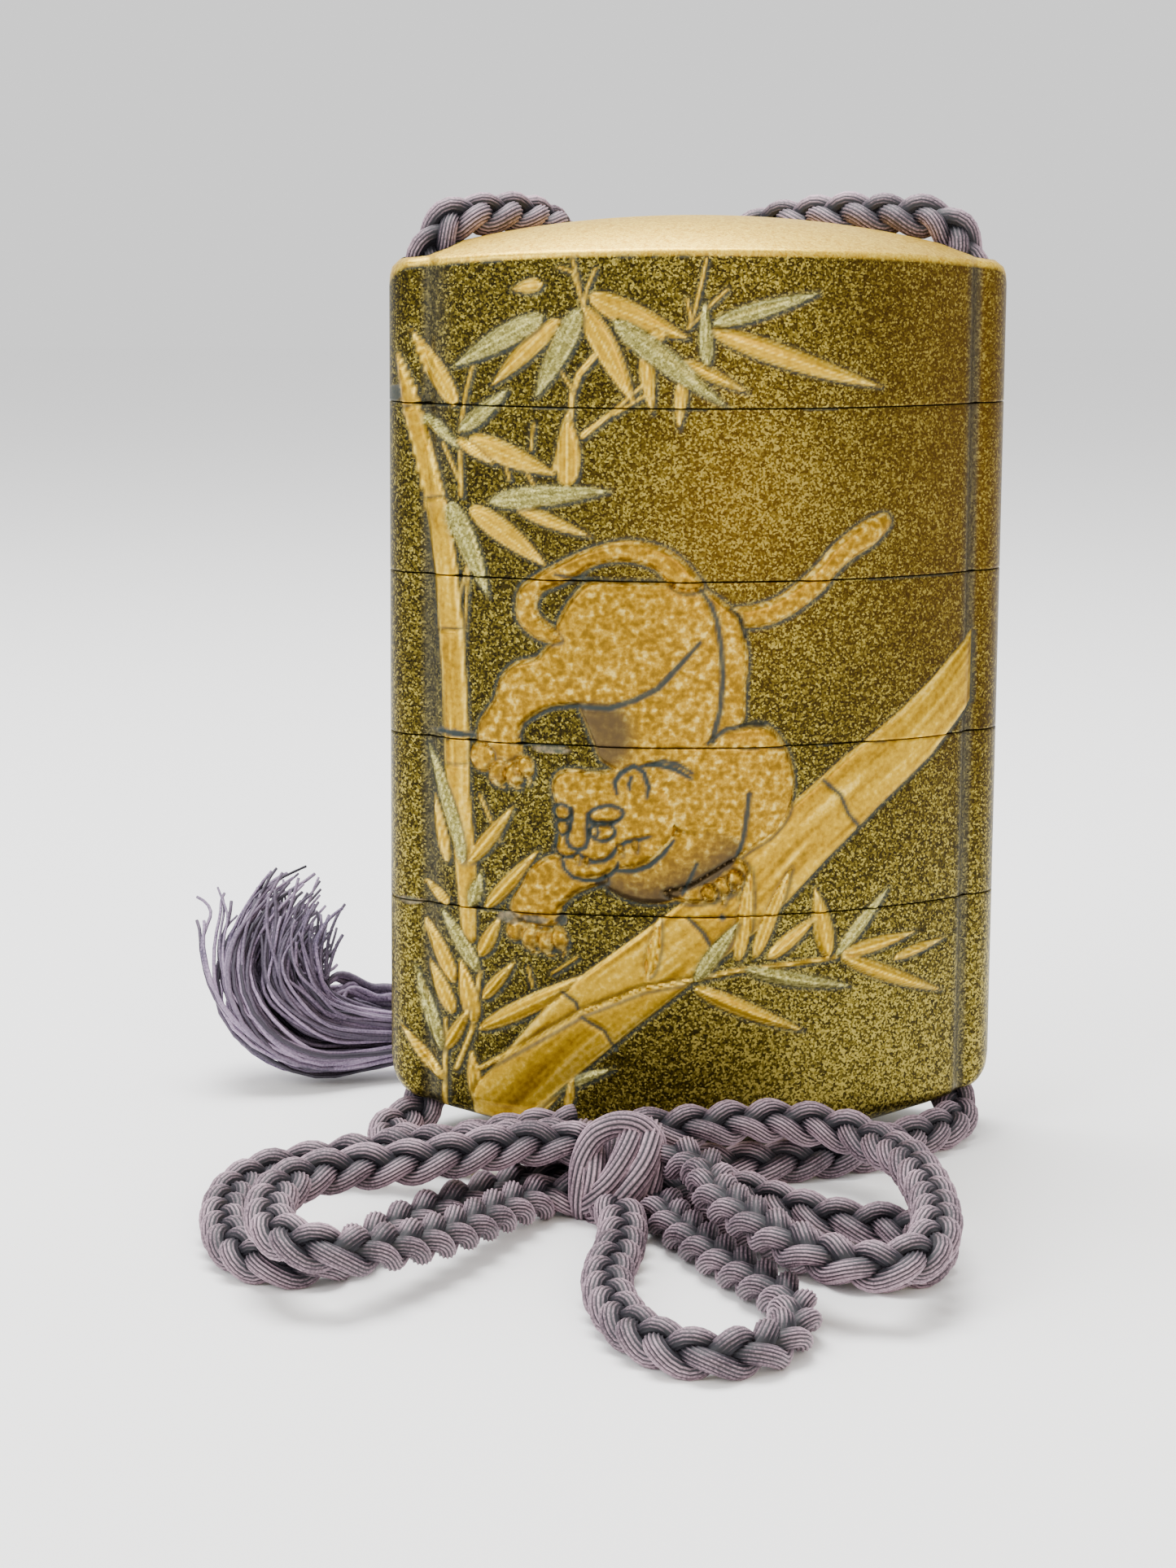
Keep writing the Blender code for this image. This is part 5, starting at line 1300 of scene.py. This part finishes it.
METAL = 0.92
GROUND_STOPS = ((0.02, "#171203"), (1.0, "#9a8b40"), (0.34, "#2e2606"), (0.62, "#4b400c"),
                (0.82, "#6c5f20"))
GOLD_STOPS = ((0.10, "#5f460c"), (0.90, "#f0d060"), (0.36, "#96710e"), (0.60, "#bd9820"))
SILVER_STOPS = ((0.10, "#45411f"), (0.90, "#c9c27a"), (0.36, "#686130"), (0.60, "#8f8848"))
FUR_STOPS = ((0.05, "#74550f"), (0.95, "#d2b65a"), (0.34, "#8c6810"), (0.66, "#ac8826"))
# The flutes' grey: painted reflection and shade, with some wear.
FLUTE_WEAR_AND_REFLECTION_STOPS = ((0.1, "#1b1a15"), (0.9, "#565342"), (0.5, "#34322a"))
# The lid top's pale gold, a painted highlight.
TOP_HIGHLIGHT_STOPS = ((0.1, "#8a640c"), (0.9, "#ecca4c"), (0.45, "#bd9216"))
CHIP_STOPS = ((0.35, "#5a5c4a"), (0.65, "#b09a74"))
LACQUER = lacquer_material()
print("lacquer with", len(LACQUER.node_tree.nodes), "nodes")

# %% [markdown]
# ## Lofting one piece of the case
# A tray could be a solid with booleans cut out of it, but a loft gives full control of where the
# vertices lie. A piece is one skin: it starts at the ceiling of the recess below, comes out over the
# lower edge, runs up the decorated wall, in over the riser and down to the floor inside. Each stop on
# that way is a ring of the shared outline, and the two ends are closed with rows from front to back.

# %% Rings, decorated walls and caps
ROW = 0.2
EDGE = 0.05
FLOOR = 1.2
LINERS = {"hollow": (2.2, 21.15), "riser": (1.3, 22.05), "recess": (1.0, 22.35)}
HOLLOW_END = 3.5
RELIEF_END = 29.0
RELIEF_FADE = 0.6
# Painted light that the walls and the lid carry besides the picture: reflection and shade in the flutes,
# the lid top's highlight, pools of light and shade, and a warm highlight.
EXTRA_LAYERS = ("flute", "pale", "painted_light_and_shade", "warm_highlight")


def outer_ring(z, inset=0.0):
    """The outline at a height, moved in by an inset."""
    return np.stack([PLAN_X - OUTWARD[:, 0] * inset, PLAN_Y - OUTWARD[:, 1] * inset,
                     np.broadcast_to(z, PLAN_X.shape)], axis=1)


def inner_ring(liner, z):
    """The outline of the hollow, of the riser or of the recess at a height."""
    wall, half_width = LINERS[liner]
    x = PLAN_X * half_width / HALF_WIDTH
    past = np.clip((np.abs(x) - (half_width - HOLLOW_END)) / HOLLOW_END, 0, 1)
    deep = np.sqrt((PANEL_RADIUS - wall) ** 2 - x ** 2) - (PANEL_RADIUS - HALF_DEPTH)
    y = FACING * deep * np.sqrt(1 - past ** 2)
    height = z(x, y) if callable(z) else z
    return np.stack([x, y, np.broadcast_to(height, x.shape)], axis=1)


def spot(x, z, middle_x, middle_z, wide, tall):
    """A soft round patch on the wall."""
    return np.exp(-((x - middle_x) / wide) ** 2 - ((z - middle_z) / tall) ** 2)


def wall_finish(z):
    """Painted reflection and shade with some wear in the flutes, painted light and shade over the flecks,
    and a warm painted highlight.
    """
    # Painted reflection and shade, with some wear, along the flutes, weaker on the back.
    front = FACING < 0
    left = soft_step(-PLAN_X - 24.3, 1.3) * soft_step(PLAN_X + 26.1, 0.25)
    right = soft_step(PLAN_X - 24.6, 0.5) * soft_step(26.0 - PLAN_X, 0.25)
    flute = np.where(front, np.maximum(0.65 * left, 0.65 * right), 0.5 * np.maximum(left, right))
    x = np.broadcast_to(PLAN_X, z.shape)
    # Painted pools of light and shade: brighter high in the middle, low towards the right and low on the
    # left runner, darker high on the left.
    painted_light_and_shade = 0.55 * spot(x, z, 2.0, 62.0, 15, 15) - 0.30 * spot(x, z, -16.0, 58.0, 8, 14)
    painted_light_and_shade += 0.65 * soft_step(26.0 - z, 14.0) * soft_step(x + 2.0, 12.0)
    painted_light_and_shade += 0.45 * soft_step(40.0 - z, 12.0) * soft_step(-x - 26.0, 1.0)
    # A warm painted highlight, high in the middle and over the upper right.
    warm_highlight = 0.6 * spot(x, z, 2.0, 60.0, 11, 14)
    warm_highlight += 0.7 * soft_step(x - 16.0, 12.0) * soft_step(z - 42.0, 24.0)
    return {"flute": np.broadcast_to(flute, z.shape), "pale": np.zeros(z.shape), "painted_light_and_shade": painted_light_and_shade, "warm_highlight": warm_highlight}


def decorated_wall(low, high, fade_low=0.0, fade_high=0.0):
    """The outer wall between two heights, with its relief: rings and stored values."""
    tall = float(np.max(high - low))
    count = int(round(tall / ROW))
    share = np.linspace(0, 1, count + 1)[:, None]
    z = low + (high - low) * share
    x = np.broadcast_to(PLAN_X, z.shape)
    front, back = slice(0, SPAN + 1), slice(SPAN + 1, AROUND)
    drawn = {"front": front_panel(x[:, front], z[:, front] - FIGURE_LIFT),
             "back": back_panel(x[:, back], z[:, back] - FIGURE_LIFT)}
    layers = {name: np.hstack([drawn["front"][name], drawn["back"][name]]) for name in LAYERS}
    fade = np.clip((RELIEF_END - np.abs(x)) / RELIEF_FADE, 0, 1)
    if fade_low:
        fade = fade * np.clip((z - low) / fade_low, 0, 1)
    if fade_high:
        fade = fade * np.clip((high - z) / fade_high, 0, 1)
    rise = layers.pop("height") * fade
    rings = [np.stack([PLAN_X + OUTWARD[:, 0] * out, PLAN_Y + OUTWARD[:, 1] * out, level], axis=1)
             for out, level in zip(rise, z)]
    layers.update(wall_finish(z))
    return rings, layers


def edge_ring(ring, drop):
    """A copy of a wall ring moved in and up or down, for a softly broken edge."""
    moved = ring.copy()
    moved[:, :2] -= OUTWARD * EDGE
    moved[:, 2] += drop
    return moved


def cap(ring, first, height, rows, down, next_index):
    """Close a ring with rows from front to back. Returns new corners, quads and triangles."""
    columns = np.arange(SPAN + 1)
    grid = np.zeros((SPAN + 1, rows + 1), int)
    grid[:] = (first + columns)[:, None]
    grid[:, rows] = first + (AROUND - columns) % AROUND
    share = (1 - np.cos(np.pi * np.arange(1, rows) / rows)) / 2
    front, back = ring[:SPAN + 1], ring[(AROUND - columns) % AROUND]
    y = front[1:-1, 1:2] + (back[1:-1, 1:2] - front[1:-1, 1:2]) * share
    x = np.broadcast_to(front[1:-1, 0:1], y.shape)
    z = height(x, y) if callable(height) else np.full(y.shape, float(height))
    grid[1:-1, 1:rows] = next_index + np.arange(y.size).reshape(y.shape)
    quads = np.stack([grid[1:-2, :-1], grid[2:-1, :-1], grid[2:-1, 1:], grid[1:-2, 1:]], -1).reshape(-1, 4)
    ends = [(grid[0, 0], grid[1, row], grid[1, row + 1]) for row in range(rows)]
    ends += [(grid[-2, row], grid[-1, 0], grid[-2, row + 1]) for row in range(rows)]
    if down:
        quads = quads[:, ::-1]
        ends = [face[::-1] for face in ends]
    return np.stack([x, y, z], axis=-1).reshape(-1, 3), quads, ends


def loft(name, rings, stored_rows, low_cap, high_cap):
    """Skin a list of rings, close both ends and make the piece, with the values its wall stores."""
    ring_index, spoke = np.meshgrid(np.arange(len(rings) - 1), np.arange(AROUND), indexing="ij")
    here, after = ring_index * AROUND + spoke, ring_index * AROUND + (spoke + 1) % AROUND
    quads = [np.stack([here, after, after + AROUND, here + AROUND], axis=-1).reshape(-1, 4)]
    corners, ends = [np.vstack(rings)], []
    count = len(rings) * AROUND
    last = (len(rings) - 1) * AROUND
    caps = ((rings[0], 0, low_cap, True), (rings[-1], last, high_cap, False))
    for ring, first, (height, rows), down in caps:
        more, cap_quads, cap_ends = cap(ring, first, height, rows, down, count)
        corners.append(more)
        quads.append(cap_quads)
        ends += [tuple(int(index) for index in face) for face in cap_ends]
        count += len(more)
    start, values = stored_rows
    attributes = {}
    for label, rows in values.items():
        full = np.zeros(count)
        full[start * AROUND:start * AROUND + rows.size] = rows.reshape(-1)
        attributes[label] = full
    return mesh_piece(name, np.vstack(corners), np.vstack(quads), ends, attributes, LACQUER)


print("loft ready, rows every", ROW, "mm")

# %% [markdown]
# ## The cord's channels
# Each runner is bored through for the cord. A boolean is the right tool here, because it is one clean
# cut through finished skins: a tall round rod that widens at both mouths is taken out of every piece.

# %% Bore the channels
BORE_RADIUS = 2.2
MOUTH_RADIUS = 3.0
BORE_SIDES = 40
BORE_PROFILE = ((-3.0, MOUTH_RADIUS), (3.6, MOUTH_RADIUS), (6.6, BORE_RADIUS), (82.0, BORE_RADIUS),
                (84.4, MOUTH_RADIUS), (90.0, MOUTH_RADIUS))
SHARP_ANGLE = math.radians(52)


def bore_tool():
    """Two rods, one for each channel."""
    angle = 2 * math.pi * np.arange(BORE_SIDES) / BORE_SIDES
    corners, quads, ends = [], [], []
    for side in (-1, 1):
        base = len(corners) * BORE_SIDES
        for z, radius in BORE_PROFILE:
            corners.append(np.stack([side * RUNNER_MIDDLE + radius * np.cos(angle), radius * np.sin(angle),
                                     np.full(BORE_SIDES, z)], axis=1))
        faces, caps = tube_faces(len(BORE_PROFILE), BORE_SIDES)
        quads.append(faces + base)
        ends += [[index + base for index in ring] for ring in caps]
    return mesh_piece("bore_tool", np.vstack(corners), np.vstack(quads), ends)


def bored(piece, tool):
    """Cut the channels out of a piece and put the result in its place."""
    cut = piece.modifiers.new("channels", "BOOLEAN")
    cut.operation = "DIFFERENCE"
    cut.solver = "MANIFOLD"
    cut.object = tool
    seen = piece.evaluated_get(bpy.context.evaluated_depsgraph_get())
    mesh = bpy.data.meshes.new_from_object(seen)
    piece.modifiers.clear()
    piece.data = mesh
    mesh.set_sharp_from_angle(angle=SHARP_ANGLE)
    return len(mesh.polygons)


tool = bore_tool()
print("bore tool:", len(tool.data.polygons), "faces")

# %% [markdown]
# ## The trays
# Three of the four trays are alike but for their heights. Their seams are only a hair wide on the real
# case, so each piece here reaches a little into the gap that the measured frame keeps for itself.

# %% The three middle trays
FLAT_ROWS = 6


def riser_rings(high, floor):
    """From the wall's top edge up the riser and down to the floor inside."""
    return [inner_ring("riser", high), inner_ring("riser", high + RISER),
            inner_ring("hollow", high + RISER), inner_ring("hollow", floor)]


def edged(rings, layers, low_edge=True, high_edge=True):
    """Add the broken edges below and above a wall, with the values of the rows next to them."""
    if low_edge:
        rings = [edge_ring(rings[0], -EDGE)] + rings
        layers = {name: np.vstack([rows[:1], rows]) for name, rows in layers.items()}
    if high_edge:
        rings = rings + [edge_ring(rings[-1], EDGE)]
        layers = {name: np.vstack([rows, rows[-1:]]) for name, rows in layers.items()}
    return rings, layers


def tray(name, low, high):
    """One middle tray between two seams."""
    low, high = low + SEAM / 2, high - SEAM / 2
    recess = [inner_ring("recess", low + RISER), inner_ring("recess", low)]
    wall, layers = edged(*decorated_wall(np.full(AROUND, low + EDGE), np.full(AROUND, high - EDGE)))
    floor = low + RISER + FLOOR
    return loft(name, recess + wall + riser_rings(high, floor), (len(recess), layers),
                (low + RISER, FLAT_ROWS), (floor, FLAT_ROWS))


case_pieces = {}
for number, (high, low) in enumerate(zip(SEAMS, SEAMS[1:]), start=1):
    piece = tray("lacquer_case_%d" % number, low, high)
    case_pieces["case_%d" % number] = piece
    print(piece.name, bored(piece, tool), "faces")

# %% [markdown]
# ## The base and the lid
# The lowest tray rounds in at its foot to a low dome that it stands on, and the lid closes the stack
# with a taller one. Both domes are the same kind of cap: rows from front to back, each at the height
# that the dome function gives. The lid's top is painted pale gold, a painted highlight for the light it
# catches from above, down to a clean line along its rim.

# %% The base
BASE_ROUND = 0.8
LID_ROUND = 0.55
LID_SHELL = 1.6
ROUND_STEPS = 3
UNDER_ROWS = 24


def rounding(edge, surface, radius, way):
    """Rings that turn from the wall to a dome, where way is 1 at the top and -1 below."""
    rings = []
    inset_ring = outer_ring(0.0, radius)
    target = surface(inset_ring[:, 0], inset_ring[:, 1])
    for step in range(1, ROUND_STEPS + 1):
        turn = math.pi / 2 * step / ROUND_STEPS
        ring = outer_ring(0.0, radius * (1 - math.cos(turn)))
        start = edge - way * radius
        ring[:, 2] = start + (target - start) * math.sin(turn)
        rings.append(ring)
    return rings


def repeated(layers, below=0, above=0):
    """Repeat the first and last rows of the stored values for added rings."""
    return {name: np.vstack([np.repeat(rows[:1], below, axis=0), rows,
                             np.repeat(rows[-1:], above, axis=0)]) for name, rows in layers.items()}


base_high = SEAMS[-1] - SEAM / 2
foot = base_under(PLAN_X, PLAN_Y)
rings, layers = decorated_wall(foot + BASE_ROUND, np.full(AROUND, base_high - EDGE), fade_low=0.6)
rings, layers = edged(rings, layers, low_edge=False)
under = rounding(foot, base_under, BASE_ROUND, -1)[::-1]
layers = repeated(layers, below=ROUND_STEPS)
base_floor = BASE_RIM + FLOOR
base = loft("lacquer_case_4", under + rings + riser_rings(base_high, base_floor), (0, layers),
            (base_under, UNDER_ROWS), (base_floor, FLAT_ROWS))
case_pieces["case_4"] = base
print(base.name, bored(base, tool), "faces")

# %% The lid
CEILING_ROWS = 8
TOP_ROWS = 28
TOP_HIGHLIGHT_DROP = 0.30
TOP_HIGHLIGHT_FROM = 5
lid_low = SEAMS[0] + SEAM / 2
rim = lid_top(PLAN_X, PLAN_Y)
rings, layers = decorated_wall(np.full(AROUND, lid_low + EDGE), rim - LID_ROUND, fade_high=0.5)
rings, layers = edged(rings, layers, high_edge=False)


def ceiling(x, y):
    """The lid's inner surface."""
    return lid_top(x, y) - LID_SHELL


inside = [inner_ring("hollow", ceiling), inner_ring("hollow", lid_low + RISER),
          inner_ring("recess", lid_low + RISER), inner_ring("recess", lid_low)]
over = rounding(rim, lid_top, LID_ROUND, 1)
layers = repeated(layers, above=ROUND_STEPS)
lid = loft("lacquer_lid", inside + rings + over, (len(inside), layers),
           (ceiling, CEILING_ROWS), (lid_top, TOP_ROWS))


def paint_top_highlight(piece):
    """Paint a pale highlight over the lid's top, down to a clean line along its rim."""
    mesh = piece.data
    spots = np.empty(len(mesh.vertices) * 3)
    mesh.vertices.foreach_get("co", spots)
    x, y, z = spots.reshape(-1, 3).T / MM
    top = lid_top(x, y)
    on_top = soft_step(z - (top - TOP_HIGHLIGHT_DROP), 0.12) * (z > lid_low + TOP_HIGHLIGHT_FROM)
    for name in LAYERS[1:] + EXTRA_LAYERS:
        layer = mesh.attributes[name].data
        values = np.empty(len(layer), np.float32)
        layer.foreach_get("value", values)
        values = on_top if name == "pale" else values * (1 - on_top)
        layer.foreach_set("value", values.astype(np.float32))


paint_top_highlight(lid)
case_pieces["lid"] = lid
print(lid.name, bored(lid, tool), "faces")

# %% Fit the five pieces to the frame
bpy.data.objects.remove(tool)
for name, piece in case_pieces.items():
    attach(piece, "root")
    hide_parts(name)
print("case:", sum(len(piece.data.polygons) for piece in case_pieces.values()), "faces")

# %% [markdown]
# ## The cord in the frame
# The cord's runs, its knot and its tassel are attached to the frame's root, and the frame's own
# cord pieces are hidden.

for cord_name, (piece, line, length) in cords.items():
    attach(piece, "root")
    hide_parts(cord_name)
for piece, cad_name in ((knot, "knot"), (tassel, "tassel")):
    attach(piece, "root")
    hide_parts(cad_name)
print("cords declared:", len(cords))
